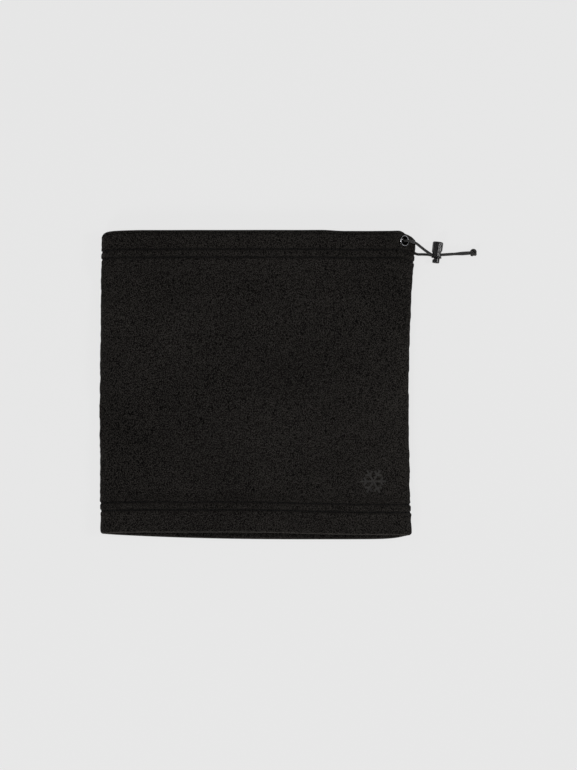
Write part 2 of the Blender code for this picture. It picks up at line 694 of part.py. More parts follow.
def main():
    clear_scene()
    fleece = material("black_fleece", (0.012, 0.011, 0.0105), 0.95)
    thread = material("black_thread", (0.008, 0.008, 0.008), 0.6)
    cord = material("black_elastic_cord", (0.02, 0.02, 0.02), 0.7)
    plastic = material("black_plastic", (0.03, 0.032, 0.033), 0.4)
    gunmetal = material("gunmetal", (0.2, 0.2, 0.21), 0.3, 1.0)
    spring_steel = material("spring_steel", (0.55, 0.55, 0.56), 0.25, 1.0)
    satin = material("black_satin", (0.03, 0.03, 0.03), 0.45)
    film = material("grey_transfer_film", (0.045, 0.045, 0.045), 0.5)

    fleece_tube(fleece)
    for name, y in (
        ("top_hem_stitch_upper", HALF_LENGTH - TOP_ROW),
        ("top_hem_stitch_lower", HALF_LENGTH - TOP_ROW - NEEDLE_GAUGE),
        ("bottom_hem_stitch_upper", BOTTOM_ROW + NEEDLE_GAUGE - HALF_LENGTH),
        ("bottom_hem_stitch_lower", BOTTOM_ROW - HALF_LENGTH),
    ):
        stitch_row(name, y, thread)
    cover_thread("top_hem_cover_thread", 1, TOP_ROW, TOP_TURNING, thread)
    cover_thread("bottom_hem_cover_thread", -1, BOTTOM_ROW, BOTTOM_TURNING, thread)
    back_seam(fleece, thread)
    care_label(satin)
    snowflake_transfer(film)

    eyelet("front_eyelet", FRONT, gunmetal)
    eyelet("back_eyelet", BACK, gunmetal)

    drawcord_in_hem(cord)
    for name, side in (("drawcord_front_tail", FRONT), ("drawcord_back_tail", BACK)):
        cord_tube(name, smooth_line(tail_route(side), 2.4 * MM), cord)
    knot(cord)

    lock = add_object("cord_lock_place", None, None, LOCK_FRAME)
    lock_barrel(plastic, lock)
    lock_plunger(plastic, lock)
    lock_spring(spring_steel, lock)


main()
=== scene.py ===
"""Looks of the fleece neck gaiter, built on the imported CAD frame."""

import json
import math

import bmesh
import bpy
import numpy as np
from mathutils import Matrix, Vector

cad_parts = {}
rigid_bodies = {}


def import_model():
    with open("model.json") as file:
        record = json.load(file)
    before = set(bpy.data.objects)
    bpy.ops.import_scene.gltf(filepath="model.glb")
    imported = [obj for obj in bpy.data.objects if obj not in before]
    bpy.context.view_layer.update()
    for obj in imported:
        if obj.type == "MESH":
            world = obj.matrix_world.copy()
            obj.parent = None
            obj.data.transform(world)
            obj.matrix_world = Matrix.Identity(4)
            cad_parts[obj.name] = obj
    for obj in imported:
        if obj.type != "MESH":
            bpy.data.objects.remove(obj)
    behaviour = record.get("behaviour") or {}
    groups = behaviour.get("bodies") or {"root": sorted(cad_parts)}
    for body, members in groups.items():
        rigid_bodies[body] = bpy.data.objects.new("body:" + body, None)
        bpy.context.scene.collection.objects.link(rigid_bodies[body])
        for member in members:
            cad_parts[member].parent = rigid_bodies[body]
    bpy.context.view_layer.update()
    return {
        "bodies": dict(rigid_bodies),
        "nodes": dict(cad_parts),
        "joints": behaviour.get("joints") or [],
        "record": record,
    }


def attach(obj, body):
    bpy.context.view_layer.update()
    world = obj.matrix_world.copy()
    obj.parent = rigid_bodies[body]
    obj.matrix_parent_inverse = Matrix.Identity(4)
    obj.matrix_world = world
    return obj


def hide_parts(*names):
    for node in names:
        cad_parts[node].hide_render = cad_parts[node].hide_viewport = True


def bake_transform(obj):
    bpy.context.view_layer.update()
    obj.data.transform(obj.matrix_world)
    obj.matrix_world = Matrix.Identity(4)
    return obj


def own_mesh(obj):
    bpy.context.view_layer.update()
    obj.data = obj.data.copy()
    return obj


MM = 0.001

# Tube, as in the CAD
PLY = 1.8 * MM
HALF_LENGTH = 124.5 * MM
END_REACH = 14 * MM
BODY_HEIGHT, TOP_HEM_HEIGHT, BOTTOM_HEM_HEIGHT = 12.8 * MM, 17.4 * MM, 15.6 * MM
LEFT_FOLD, RIGHT_FOLD = -126.5 * MM, 123.4 * MM
CORNER_LIFT = 3.2 * MM
TUCK = 10 * MM
NEEDLE_GAUGE = 6.5 * MM
TOP_ROW, TOP_TURNING = 15.4 * MM, 24.6 * MM
BOTTOM_ROW, BOTTOM_TURNING = 18.3 * MM, 27.6 * MM
CHANNEL = 2.8 * MM
SLIT = 0.3 * MM
FOLD_STEPS = 9
PINCH, PINCHED_PLY = 1.0 * MM, 1.2 * MM
CORD_INSET = 7.5 * MM

# Eyelets, cord and lock, as in the CAD
EYELET_ACROSS = 118.8 * MM
EYELET_HOLE, EYELET_BARREL, EYELET_FLANGE = 2.7 * MM, 3.05 * MM, 4.4 * MM
EYELET_DEPTH = 4.45 * MM
TWIST_FRONT, TWIST_BACK = math.radians(28), math.radians(12)
TWIST_CORE, TWIST_REACH = 5.5 * MM, 14 * MM
CORD = 2.2 * MM
STRAND_OFFSET = 1.2 * MM
LOCK_CENTRE = np.array((146.1, 104.9, 4.4)) * MM
LOCK_TILT = math.radians(7)
CORD_RISE = math.radians(3.9)
CORD_WAY = np.array((math.cos(CORD_RISE), math.sin(CORD_RISE), 0))
KNOT_DROP = 1.4 * MM
KNOT_REACH = 29.9 * MM
LOCK_RADIUS, LOCK_BORE = 4.3 * MM, 3.4 * MM
LOCK_RIM, LOCK_TOP = -2.6 * MM, 10.9 * MM
PLUNGER_RADIUS, PLUNGER_HEAD_RADIUS = 3.1 * MM, 2.9 * MM
PLUNGER_END, PLUNGER_TOP = -6.5 * MM, 3.0 * MM
PLUNGER_TRAVEL = 1.8 * MM
BORE_END = LOCK_TOP - 1.1 * MM
SPRING_LOW, SPRING_HIGH = PLUNGER_TOP + 0.3 * MM, LOCK_TOP - 1.4 * MM
CORD_HOLE_WIDTH, CORD_HOLE_REST, CORD_HOLE_CORNER = 5.1 * MM, 1.5 * MM, 1.4 * MM
SCALLOP_RADIUS, SCALLOP_DROP = 2.7 * MM, 1.6 * MM  # the thumb's notches in the rim
THROUGH = 8 * MM  # either way from the lock's axis, past its wall

# Drawcord
HEM_CORD_ENDS = 0.93  # across, where the cord in the hem stops, about 1.4 mm before each tail
TAIL_STARTS = (0.942, 0.955)  # across, the tail's first two points in the hem's channel
KNOT_CORD = 1.08 * MM  # radius of the cord in the knot, a little squeezed
CUT_END = 0.8 * MM  # radius
TAIL_SPACING, PATH_STEP = 0.3 * MM, 4  # between the rings of a tail's mesh; rings to a point of its path
LOCK_REACH = 5 * MM  # along the cord, from the lock's centre to clear of its wall
NEAR_KNOT = 24 * MM  # along the cord, from the lock's centre

# Sewing
STITCH = 3.05 * MM  # from one needle hole to the next
NEEDLE_THREAD = 0.24 * MM  # thread radius
LOOPER_THREAD = 0.15 * MM

# Emblem
EMBLEM_CENTRE = (94.5 * MM, -78.2 * MM)
EMBLEM_RADIUS = 10.5 * MM

# Round the tube: front face, right fold, back face, left fold
FACE_RUN, FOLD_RUN = 224 * MM, 34 * MM
AROUND = 2 * (FACE_RUN + FOLD_RUN)
BACK_MIDDLE = FACE_RUN + FOLD_RUN + FACE_RUN / 2  # where the seam is
FRONT, BACK = math.pi / 2, -math.pi / 2
UP = np.array((0.0, 0.0, 1.0))

# Camera
CAMERA_LOOKS_AT = (26.0 * MM, -0.4 * MM, 8 * MM)
CAMERA_DISTANCE = 1.471
CAMERA_LENS, CAMERA_SENSOR = 85, 36

# Light
TABLE_GLOW = 0.752
ROOM = ((0.0, 0.50), (0.22, 0.38), (0.6, 0.14), (1.0, 0.06))  # height of a direction, brightness
LAMPS = (  # name, place, size in metres, watts
    ("side", (1.02, 0.10, 0.90), 0.30, 6.0),
    ("front", (-0.48, -0.95, 0.95), 0.40, 6.5),
    ("fill", (-0.75, 0.60, 1.25), 0.80, 3.0),
)


# ---------------------------------------------------------------- small helpers

def smooth(low, high, value):
    t = np.clip((value - low) / (high - low), 0, 1)
    return t * t * (3 - 2 * t)


def unit(v):
    return v / np.linalg.norm(v, axis=-1, keepdims=True)


def new_mesh(name, points, faces, material, smooth_shaded=True):
    mesh = bpy.data.meshes.new(name)
    mesh.from_pydata(np.asarray(points).tolist(), [], faces)
    mesh.materials.append(material)
    if smooth_shaded:
        mesh.shade_smooth()
    made = bpy.data.objects.new(name, mesh)
    bpy.context.scene.collection.objects.link(made)
    return made


def face_out(obj):
    """Turns a closed mesh's faces outwards."""
    solid = bmesh.new()
    solid.from_mesh(obj.data)
    bmesh.ops.recalc_face_normals(solid, faces=solid.faces)
    if solid.calc_volume(signed=True) < 0:
        bmesh.ops.reverse_faces(solid, faces=solid.faces)
    solid.to_mesh(obj.data)
    solid.free()
    return obj


def grid_faces(rows, columns, wrap_rows, wrap_columns):
    """Quads of a grid whose points are numbered row by row."""
    i = np.arange(rows if wrap_rows else rows - 1)
    j = np.arange(columns if wrap_columns else columns - 1)
    a, b = np.meshgrid(i, j, indexing="ij")
    a, b = a.ravel(), b.ravel()
    a2, b2 = (a + 1) % rows, (b + 1) % columns
    quads = np.stack([a * columns + b, a * columns + b2, a2 * columns + b2, a2 * columns + b], 1)
    return quads.tolist()


def loop_vertices(obj):
    """The vertex that each corner of a mesh's faces uses."""
    index = np.zeros(len(obj.data.loops), dtype=int)
    obj.data.loops.foreach_get("vertex_index", index)
    return index


def add_map(obj, name, uv):
    """Stores one (u, v) for each corner of a mesh's faces."""
    layer = obj.data.uv_layers.new(name=name)
    layer.data.foreach_set("uv", np.asarray(uv).ravel().astype(np.float32))


def lattice_noise(points, cell, seed):
    """Smooth 3-D noise, about -1 to 1, with features as large as cell."""
    table = np.random.default_rng(seed).random((64, 64, 64)) * 2 - 1
    scaled = np.asarray(points) / cell + 1000.0
    base = np.floor(scaled).astype(int)
    t = scaled - base
    t = t * t * (3 - 2 * t)
    total = np.zeros(len(scaled))
    for corner in np.ndindex(2, 2, 2):
        weight = np.ones(len(scaled))
        for k in range(3):
            weight *= t[:, k] if corner[k] else 1 - t[:, k]
        index = (base + corner) % 64
        total += weight * table[index[:, 0], index[:, 1], index[:, 2]]
    return total


# ---------------------------------------------------------------- shape of the laid-out tube

def height_at(y):
    top = smooth(82 * MM, 103 * MM, y) * (TOP_HEM_HEIGHT - BODY_HEIGHT)
    bottom = smooth(91 * MM, 101 * MM, -y) * (BOTTOM_HEM_HEIGHT - BODY_HEIGHT)
    return BODY_HEIGHT + top + bottom


def folds_at(y):
    t = y / HALF_LENGTH
    left = LEFT_FOLD + (1.3 * t * t + 0.6 * t) * MM
    right = RIGHT_FOLD + (3.8 * t * t + 1.7 * t) * MM
    return left, right


def edge_shift(x, y, frontness):
    left, right = folds_at(y)
    near_right = np.maximum(0.0, 1 - (right - x) / END_REACH)
    near_left = np.maximum(0.0, 1 - (x - left) / (36 * MM))
    front_drop = 9.0 * near_right**2
    back_drop = 2.0 * smooth(0, 0.6, near_right)
    dip = 0.8 * smooth(52 * MM, 72 * MM, x) + 1.6 * near_left**2 + 1.6 * near_left**12
    drop = back_drop + (front_drop - back_drop) * frontness + dip
    leftwards = np.maximum(0.0, (40 * MM - x) / (165 * MM))
    rightwards = np.maximum(0.0, (x - 40 * MM) / (84 * MM))
    back_rise = 4.3 * leftwards**2.2 + 3.6 * rightwards**8 - 1.3
    front_rise = 5.3 - 0.7 * near_left - 2.3 * smooth(-20 * MM, 110 * MM, x)
    rise = back_rise + (front_rise - back_rise) * frontness
    return rise * MM * smooth(45 * MM, 108 * MM, -y) - drop * MM * smooth(70 * MM, HALF_LENGTH, y)


def laid(across, angle, y, depth, tuck=0.0):
    left, right = folds_at(y)
    low, high = left + END_REACH, right - END_REACH - TUCK * tuck
    x = low + (high - low) * (across + 1) / 2 + (END_REACH - depth) * np.cos(angle)
    half = height_at(y) / 2
    z = half + (half - depth) * np.sin(angle)
    return np.stack(np.broadcast_arrays(x, y + edge_shift(x, y, (1 + np.sin(angle)) / 2), z), -1)


def lifted(p):
    lift = CORNER_LIFT * smooth(86 * MM, 122 * MM, p[..., 0]) * smooth(66 * MM, 108 * MM, p[..., 1])
    return p + lift[..., None] * UP


def turned_about_y(v, angle):
    c, s = np.cos(angle), np.sin(angle)
    return np.stack([c * v[..., 0] + s * v[..., 2], v[..., 1], c * v[..., 2] - s * v[..., 0]], -1)


def twisted(p, centre, angle):
    offset = p - centre
    share = 1 - smooth(TWIST_CORE, TWIST_REACH, np.linalg.norm(offset, axis=-1))
    return centre + turned_about_y(offset, angle * share)


def eyelet_base(side):
    y = HALF_LENGTH - CORD_INSET
    reach = (EYELET_ACROSS - folds_at(y)[1] + END_REACH) / END_REACH
    turn = math.copysign(math.acos(reach), side)

    def at(angle, along):
        return lifted(laid(1, angle, along, 0))

    step = 0.02
    normal = unit(np.cross(at(turn + step, y) - at(turn - step, y), at(turn, y + MM) - at(turn, y - MM)))
    outward = 1 if side > 0 else -1
    return at(turn, y), normal * math.copysign(1, normal[2] * outward)


FRONT_CENTRE, FRONT_NORMAL = eyelet_base(FRONT)
BACK_CENTRE, BACK_NORMAL = eyelet_base(BACK)


def placed(p):
    p = twisted(lifted(p), FRONT_CENTRE, TWIST_FRONT)
    return twisted(p, BACK_CENTRE, -TWIST_BACK)


def eyelet_matrix(side):
    """Local Z is the eyelet's outward axis; local X points down its slope, away from the tube."""
    if side == FRONT:
        centre, normal, twist = FRONT_CENTRE, FRONT_NORMAL, TWIST_FRONT
    else:
        centre, normal, twist = BACK_CENTRE, BACK_NORMAL, -TWIST_BACK
    axis = turned_about_y(normal, twist)
    downhill = unit(np.cross((0, 1, 0), axis))
    if downhill[0] < 0:
        downhill = -downhill
    turn = Matrix(np.stack([downhill, np.cross(axis, downhill), axis], 1).tolist())
    return Matrix.Translation(centre) @ turn.to_4x4()


def station(run):
    """(across, angle) at a distance run round the tube from the front's left end."""
    run = np.mod(run, AROUND)
    folds = FACE_RUN + FOLD_RUN
    front = run < FACE_RUN
    right = (run >= FACE_RUN) & (run < folds)
    back = (run >= folds) & (run < folds + FACE_RUN)
    across = np.where(front, 2 * run / FACE_RUN - 1, 1.0)
    across = np.where(back, 1 - 2 * (run - folds) / FACE_RUN, across)
    across = np.where(front | right | back, across, -1.0)
    angle = np.where(front, FRONT, FRONT - math.pi * (run - FACE_RUN) / FOLD_RUN)
    angle = np.where(back, BACK, angle)
    left_turn = BACK - math.pi * (run - folds - FACE_RUN) / FOLD_RUN
    return across, np.where(front | right | back, angle, left_turn)


# ---------------------------------------------------------------- cloth simulation

SIM_AROUND, SIM_ROWS = 104, 46
SIM_LIMIT = 2.2 * MM
SIM_FRAMES = 30


def cubic_weights(t):
    return np.stack([
        0.5 * (-t + 2 * t**2 - t**3),
        0.5 * (2 - 5 * t**2 + 3 * t**3),
        0.5 * (t + 4 * t**2 - 3 * t**3),
        0.5 * (t**3 - t**2),
    ])


class Settling:
    """How far the laid-out fleece moves as it relaxes, on a grid round and along the tube."""

    def __init__(self):
        self.field = np.zeros((SIM_AROUND, SIM_ROWS, 3))

    def at(self, run, y):
        run, y = np.broadcast_arrays(run, y)
        i = np.mod(run, AROUND) / AROUND * SIM_AROUND
        j = np.clip((y / HALF_LENGTH + 1) / 2, 0, 1) * (SIM_ROWS - 1)
        base_i, base_j = np.floor(i).astype(int), np.minimum(np.floor(j).astype(int), SIM_ROWS - 2)
        wi, wj = cubic_weights(i - base_i), cubic_weights(j - base_j)
        total = np.zeros((*run.shape, 3))
        for a in range(4):
            rows = np.mod(base_i + a - 1, SIM_AROUND)
            for b in range(4):
                columns = np.clip(base_j + b - 1, 0, SIM_ROWS - 1)
                total += (wi[a] * wj[b])[..., None] * self.field[rows, columns]
        return total

    def run_simulation(self):
        """Relaxes a coarse draft of the tube, with nothing for it to touch, and keeps how far it moved."""
        runs = np.arange(SIM_AROUND) / SIM_AROUND * AROUND
        ys = np.linspace(-HALF_LENGTH, HALF_LENGTH, SIM_ROWS)
        run_grid, y_grid = np.meshgrid(runs, ys, indexing="ij")
        start = placed(laid(*station(run_grid), y_grid, PLY / 2)).reshape(-1, 3)
        draft = new_mesh("draft", start, grid_faces(SIM_AROUND, SIM_ROWS, True, False), plain_material())
        self.hold(draft, run_grid.ravel(), y_grid.ravel(), start)
        cloth = draft.modifiers.new("relax", "CLOTH")
        settings = cloth.settings
        settings.quality = 8
        settings.mass = 0.0006
        settings.tension_stiffness = settings.compression_stiffness = 14
        settings.shear_stiffness = 6
        settings.bending_stiffness = 1.6
        settings.air_damping = 4
        settings.shrink_min = settings.shrink_max = -0.022
        settings.effector_weights.gravity = 0.04
        settings.use_pressure = True
        settings.uniform_pressure_force = 0.015
        settings.vertex_group_mass = "held"
        settings.pin_stiffness = 0.35
        scene = bpy.context.scene
        for frame in range(1, SIM_FRAMES + 1):
            scene.frame_set(frame)
        relaxed = draft.evaluated_get(bpy.context.evaluated_depsgraph_get()).to_mesh()
        moved = np.array([v.co for v in relaxed.vertices]) - start
        draft.evaluated_get(bpy.context.evaluated_depsgraph_get()).to_mesh_clear()
        scene.frame_set(1)
        bpy.data.objects.remove(draft, do_unlink=True)
        self.keep(moved.reshape(SIM_AROUND, SIM_ROWS, 3), start.reshape(SIM_AROUND, SIM_ROWS, 3))

    def hold(self, draft, run, y, start):
        """Holds the back, the hems and the corner with the eyelets more firmly than the rest."""
        angle = station(run)[1]
        hems = np.maximum(smooth(94 * MM, 104 * MM, y), smooth(90 * MM, 98 * MM, -y))
        under = smooth(0.2, -0.6, np.sin(angle))
        corner = 1 - smooth(18 * MM, 46 * MM, np.linalg.norm(start - FRONT_CENTRE, axis=1))
        share = np.clip(0.16 + 0.3 * hems + 0.8 * under + corner, 0, 1)
        group = draft.vertex_groups.new(name="held")
        for index, weight in enumerate(share):
            group.add([index], float(weight), "REPLACE")

    def keep(self, moved, start):
        """Evens the movement out, halves it sideways, limits it, and takes it to nothing at the eyelets."""
        for _ in range(2):
            beside = (np.roll(moved, 1, 0) + np.roll(moved, -1, 0)) / 4 + moved / 2
            padded = np.concatenate([beside[:, :1], beside, beside[:, -1:]], 1)
            moved = (padded[:, :-2] + padded[:, 2:]) / 4 + beside / 2
        moved[..., :2] *= 0.5
        length = np.linalg.norm(moved, axis=-1, keepdims=True)
        moved = moved * np.minimum(1, SIM_LIMIT / np.maximum(length, 1e-9))
        near = np.minimum(
            np.linalg.norm(start - FRONT_CENTRE, axis=-1), np.linalg.norm(start - BACK_CENTRE, axis=-1)
        )
        self.field = moved * smooth(16 * MM, 34 * MM, near)[..., None]


SETTLED = Settling()


def cloth_point(run, y, depth, tuck=0.0):
    """A point of the settled fleece: run round the tube, y along it, depth inwards."""
    run, y, depth, tuck = np.broadcast_arrays(run, y, depth, tuck)
    across, angle = station(run)
    return placed(laid(across, angle, y, depth, tuck)) + SETTLED.at(run, y)


# ---------------------------------------------------------------- fleece

def dips(inset, rows):
    """Depth of the outer face where the rows of stitches pull it in, with a soft roll beside them."""
    depth = np.zeros_like(inset)
    for row in rows:
        away = (inset - row) / MM
        roll = 0.22 * MM * np.exp(-(((np.abs(away) - 2.4) / 1.2) ** 2))
        depth += PINCH * np.exp(-((away / 0.85) ** 2)) - roll
    return depth


def hem_outline(row, turning, channel, tucks):
    """The outside and the inside of one hem as (inset, depth, tuck) rows, like the CAD's."""
    tuck = 1.0 if tucks else 0.0
    outer_radius, inner_radius = PLY + channel / 2, channel / 2
    far_row, middle = row + NEEDLE_GAUGE, row + NEEDLE_GAUGE / 2
    pressed = PINCH + PINCHED_PLY
    full = 2 * PLY + channel
    open_end = row - 3.2 * MM
    insets = [turning + 2.4 * MM]
    while insets[-1] > outer_radius + 0.9 * MM:
        near = min(abs(insets[-1] - row), abs(insets[-1] - far_row))
        insets.append(insets[-1] - (0.42 * MM if near < 2.6 * MM else 1.7 * MM))
    insets = np.array(insets)
    outside = [(i, d, 0.0) for i, d in zip(insets, dips(insets, (row, far_row)))]
    outer_fold, inner_fold = [], []
    for k in range(FOLD_STEPS + 1):
        angle = math.pi * k / FOLD_STEPS
        share = tuck * (1 - math.cos(angle)) / 2
        for radius, fold in ((outer_radius, outer_fold), (inner_radius, inner_fold)):
            inset = outer_radius - radius * math.sin(angle)
            depth = outer_radius - radius * math.cos(angle)
            fold.append((inset, depth, share))
    outside += outer_fold
    inside = [(6.5 * MM, full, tuck), (10.0 * MM, full, tuck), (open_end, full - 0.7 * MM, 0.6 * tuck)]
    inside += [(row, pressed + SLIT + PINCHED_PLY, 0), (middle, 2 * PLY + SLIT + 0.3 * MM, 0)]
    inside += [(far_row, pressed + SLIT + PINCHED_PLY, 0), (turning - 0.5 * MM, pressed + SLIT + PLY, 0)]
    inside += [(turning, pressed + SLIT + 0.6 * PLY, 0), (turning - 0.2 * MM, pressed + SLIT, 0)]
    inside += [(far_row, pressed + SLIT, 0), (middle, pressed + SLIT, 0), (row, pressed + SLIT, 0)]
    if channel > 2 * SLIT:
        inside += [(open_end, PLY + 0.9 * channel, 0.6 * tuck), (10.0 * MM, PLY + channel, tuck)]
        inside += [(6.5 * MM, PLY + channel, tuck)]
    inside += inner_fold[::-1]
    inside += [(6.5 * MM, PLY, 0), (10.0 * MM, PLY, 0), (row, pressed, 0), (middle, pressed, 0)]
    inside += [(far_row, pressed, 0), (turning + 2 * MM, PLY, 0)]
    return outside, inside


def fleece_stations():
    """Distances round the tube: close together in the folds, and evenly on the faces."""
    face = np.linspace(0, FACE_RUN, 150, endpoint=False)
    fold = np.linspace(0, FOLD_RUN, 38, endpoint=False)
    return np.concatenate([
        face, FACE_RUN + fold, FACE_RUN + FOLD_RUN + face, 2 * FACE_RUN + FOLD_RUN + fold,
    ])


def fleece_tube(material):
    top_outside, top_inside = hem_outline(TOP_ROW, TOP_TURNING, CHANNEL, True)
    bottom_outside, bottom_inside = hem_outline(BOTTOM_ROW, BOTTOM_TURNING, 1.5 * SLIT, False)
    start, end = BOTTOM_TURNING + 2.4 * MM - HALF_LENGTH, HALF_LENGTH - TOP_TURNING - 2.4 * MM
    outer = [(y, 0.0, 0.0) for y in np.linspace(start, end, 108)[1:-1]]
    inner = [(y, PLY, 0.0) for y in np.linspace(end, start, 24)[1:-1]]
    profile = [(i - HALF_LENGTH, d, t) for i, d, t in bottom_outside[::-1]] + outer
    profile += [(HALF_LENGTH - i, d, t) for i, d, t in top_outside + top_inside] + inner
    profile += [(i - HALF_LENGTH, d, t) for i, d, t in bottom_inside[::-1]]
    profile = np.array(profile)
    runs = fleece_stations()
    run = np.repeat(runs, len(profile))
    y, depth, tuck = (np.tile(profile[:, k], len(runs)) for k in range(3))
    outer_face = depth < 0.9 * PLY
    seam = seam_dip(run, y)
    depth = depth + np.where(outer_face, seam, 0)
    points = cloth_point(run, y, depth, tuck)
    lumps = lattice_noise(points, 2.9 * MM, 5) * 0.13 * MM + lattice_noise(points, 7 * MM, 8) * 0.12 * MM
    edge = np.maximum(np.abs(np.cos(station(run)[1])), smooth(119 * MM, 123 * MM, np.abs(y)))
    lumps *= 1 + 1.7 * edge
    inward = cloth_point(run, y, depth + 0.2 * MM, tuck) - points
    points = points - unit(inward) * np.where(outer_face, lumps, 0)[:, None]
    points[:, 2] = np.maximum(points[:, 2], -0.1 * MM)
    faces = grid_faces(len(runs), len(profile), True, True)
    tube = face_out(new_mesh("fleece", points, faces, material))
    add_cloth_map(tube, run, y)
    for side in (FRONT, BACK):
        punch(tube, circle(EYELET_BARREL + 0.15 * MM, 32), -3.6 * MM, 3 * MM, eyelet_matrix(side))
    return tube


def seam_dip(run, y):
    """The shallow valley of the seam down the middle of the back."""
    away = (run - BACK_MIDDLE) / MM
    return 0.55 * MM * np.exp(-((away / 1.1) ** 2)) * (1 - 0.3 * smooth(95 * MM, 120 * MM, np.abs(y)))


def add_cloth_map(obj, run, y):
    """Stores metres round and along the tube as a UV map."""
    index = loop_vertices(obj)
    u, v = run[index], y[index]
    start = np.zeros(len(obj.data.polygons), dtype=int)
    obj.data.polygons.foreach_get("loop_start", start)
    corners = start[:, None] + np.arange(4)
    wraps = (u[corners].max(1) - u[corners].min(1)) > AROUND / 2
    fixed = u.copy()
    chosen = corners[wraps].ravel()
    fixed[chosen] = np.where(u[chosen] < AROUND / 2, u[chosen] + AROUND, u[chosen])
    add_map(obj, "cloth", np.stack([fixed, v], 1))


def circle(radius, segments):
    turns = np.arange(segments) * math.tau / segments
    return [(radius * math.cos(a), radius * math.sin(a)) for a in turns]


def prism(name, outline, low, high, place, material):
    count = len(outline)
    points = [place @ Vector((x, y, z)) for z in (low, high) for x, y in outline]
    faces = [list(range(count)), list(range(count, 2 * count))]
    faces += [[k, (k + 1) % count, count + (k + 1) % count, count + k] for k in range(count)]
    return face_out(new_mesh(name, points, faces, material, smooth_shaded=False))


def punch(target, outline, low, high, place):
    """Takes an extruded outline out of target, for good."""
    cutter = prism("cutter", outline, low, high, place, target.data.materials[0])
    tool = target.modifiers.new("punch", "BOOLEAN")
    tool.operation, tool.solver, tool.object = "DIFFERENCE", "EXACT", cutter
    made = bpy.data.meshes.new_from_object(target.evaluated_get(bpy.context.evaluated_depsgraph_get()))
    target.modifiers.clear()
    target.data = made
    bpy.data.objects.remove(cutter, do_unlink=True)


# ---------------------------------------------------------------- threads and cords as round tubes

def frames_along(path):
    """Two unit normals at each point of a path, without needless twist."""
    tangent = unit(np.gradient(path, axis=0))
    side = np.cross(tangent[0], UP)
    if np.linalg.norm(side) < 0.1:
        side = np.cross(tangent[0], (0, 1, 0))
    normals = [unit(side)]
    for t in tangent[1:]:
        n = normals[-1] - (normals[-1] @ t) * t
        normals.append(unit(n))
    normal = np.array(normals)
    return normal, np.cross(tangent, normal)


def distance_along(path):
    return np.concatenate([[0.0], np.cumsum(np.linalg.norm(np.diff(path, axis=0), axis=1))])


def tubes(name, paths, radius, around, material, ripple=None, closed=False):
    """One mesh of round tubes with domed ends. ripple(distance, angle) scales the radius."""
    points, faces, maps = [], [], []
    turns = np.arange(around) * math.tau / around
    for path in paths:
        path = np.asarray(path, float)
        normal, across = frames_along(path)
        far = distance_along(path)
        share = np.ones(len(path))
        if not closed:
            into = np.minimum(far, far[-1] - far) / radius
            share = np.sqrt(np.clip(1 - (1 - np.clip(into, 0, 1)) ** 2, 0.09, 1))
        scale = radius * share[:, None] * np.ones(around)
        if ripple:
            scale = scale * ripple(far[:, None], turns[None, :])
        ring = np.cos(turns)[:, None] * normal[:, None, :] + np.sin(turns)[:, None] * across[:, None, :]
        base = len(points)
        points.extend((path[:, None, :] + ring * scale[..., None]).reshape(-1, 3))
        faces += [[base + k for k in quad] for quad in grid_faces(len(path), around, closed, True)]
        if not closed:
            faces.append([base + k for k in reversed(range(around))])
            faces.append([base + (len(path) - 1) * around + k for k in range(around)])
        maps.extend(np.stack(np.broadcast_arrays(far[:, None], turns[None, :]), -1).reshape(-1, 2))
    made = face_out(new_mesh(name, np.array(points), faces, material))
    add_tube_map(made, np.array(maps))
    return made


def add_tube_map(obj, maps):
    """Stores metres along and turns round a tube as a UV map."""
    uv = maps[loop_vertices(obj)]
    for polygon in obj.data.polygons:
        loops = list(polygon.loop_indices)
        if len(loops) == 4 and np.ptp(uv[loops, 1]) > math.pi:
            uv[loops, 1] = np.where(uv[loops, 1] < math.pi, uv[loops, 1] + math.tau, uv[loops, 1])
    add_map(obj, "cord", uv)


def needle_row(name, y, material):
    """Separate stitches that dip into the fleece at each needle hole."""
    count = round(AROUND / STITCH)
    pitch = AROUND / count
    t = np.linspace(0.07, 0.93, 8)
    run = (np.arange(count)[:, None] + t[None, :]) * pitch
    rise = np.sin(math.pi * t) ** 0.6
    depth = PINCH + 0.42 * MM - rise * 0.78 * MM
    wobble = 0.12 * MM * (np.random.default_rng(3).random(count)[:, None] - 0.5)
    points = cloth_point(run, y + wobble, depth[None, :])
    return tubes(name, points, NEEDLE_THREAD, 6, material)


def inner_face_depth(inset, row, turning):
    """Depth of the hem's inner face, where the looper threads lie."""
    far_row, middle = row + NEEDLE_GAUGE, row + NEEDLE_GAUGE / 2
    pressed = PINCH + 2 * PINCHED_PLY + SLIT
    raised = pressed + 0.6 * MM
    insets = [row - 3 * MM, row, middle, far_row, turning, turning + MM]
    depths = [raised, pressed, 2 * PLY + SLIT + 0.3 * MM, pressed, raised, PLY + 0.9 * MM]
    return np.interp(inset, insets, depths)


def cover_threads(name, edge, row, turning, material):
    """Two looper threads that cross between the needle rows; they stop short of the raw edge."""
    count = round(AROUND / STITCH)
    steps = count * 6
    run = np.arange(steps) / steps * AROUND
    phase = run / AROUND * count * math.pi
    middle, reach = row + NEEDLE_GAUGE / 2, NEEDLE_GAUGE / 2 + 0.35 * MM
    paths = []
    for shift, lift in ((0.0, 0.16 * MM), (math.pi / 2, 0.34 * MM)):
        wave = np.arcsin(np.sin(phase + shift)) * 2 / math.pi
        inset = middle + wave * reach
        depth = inner_face_depth(inset, row, turning) + lift
        swing = run + 0.35 * STITCH * np.sin(2 * (phase + shift))
        paths.append(cloth_point(swing, edge * (HALF_LENGTH - inset), depth))
    return tubes(name, paths, LOOPER_THREAD, 5, material, closed=True)


# ---------------------------------------------------------------- inside the tube

SEAM_WIDTH, SEAM_HEIGHT = 7.2 * MM, 3.0 * MM


def seam_ys(count):
    low = -HALF_LENGTH + BOTTOM_TURNING + 1.5 * MM
    high = HALF_LENGTH - TOP_TURNING - 1.5 * MM
    return np.linspace(low, high, count)


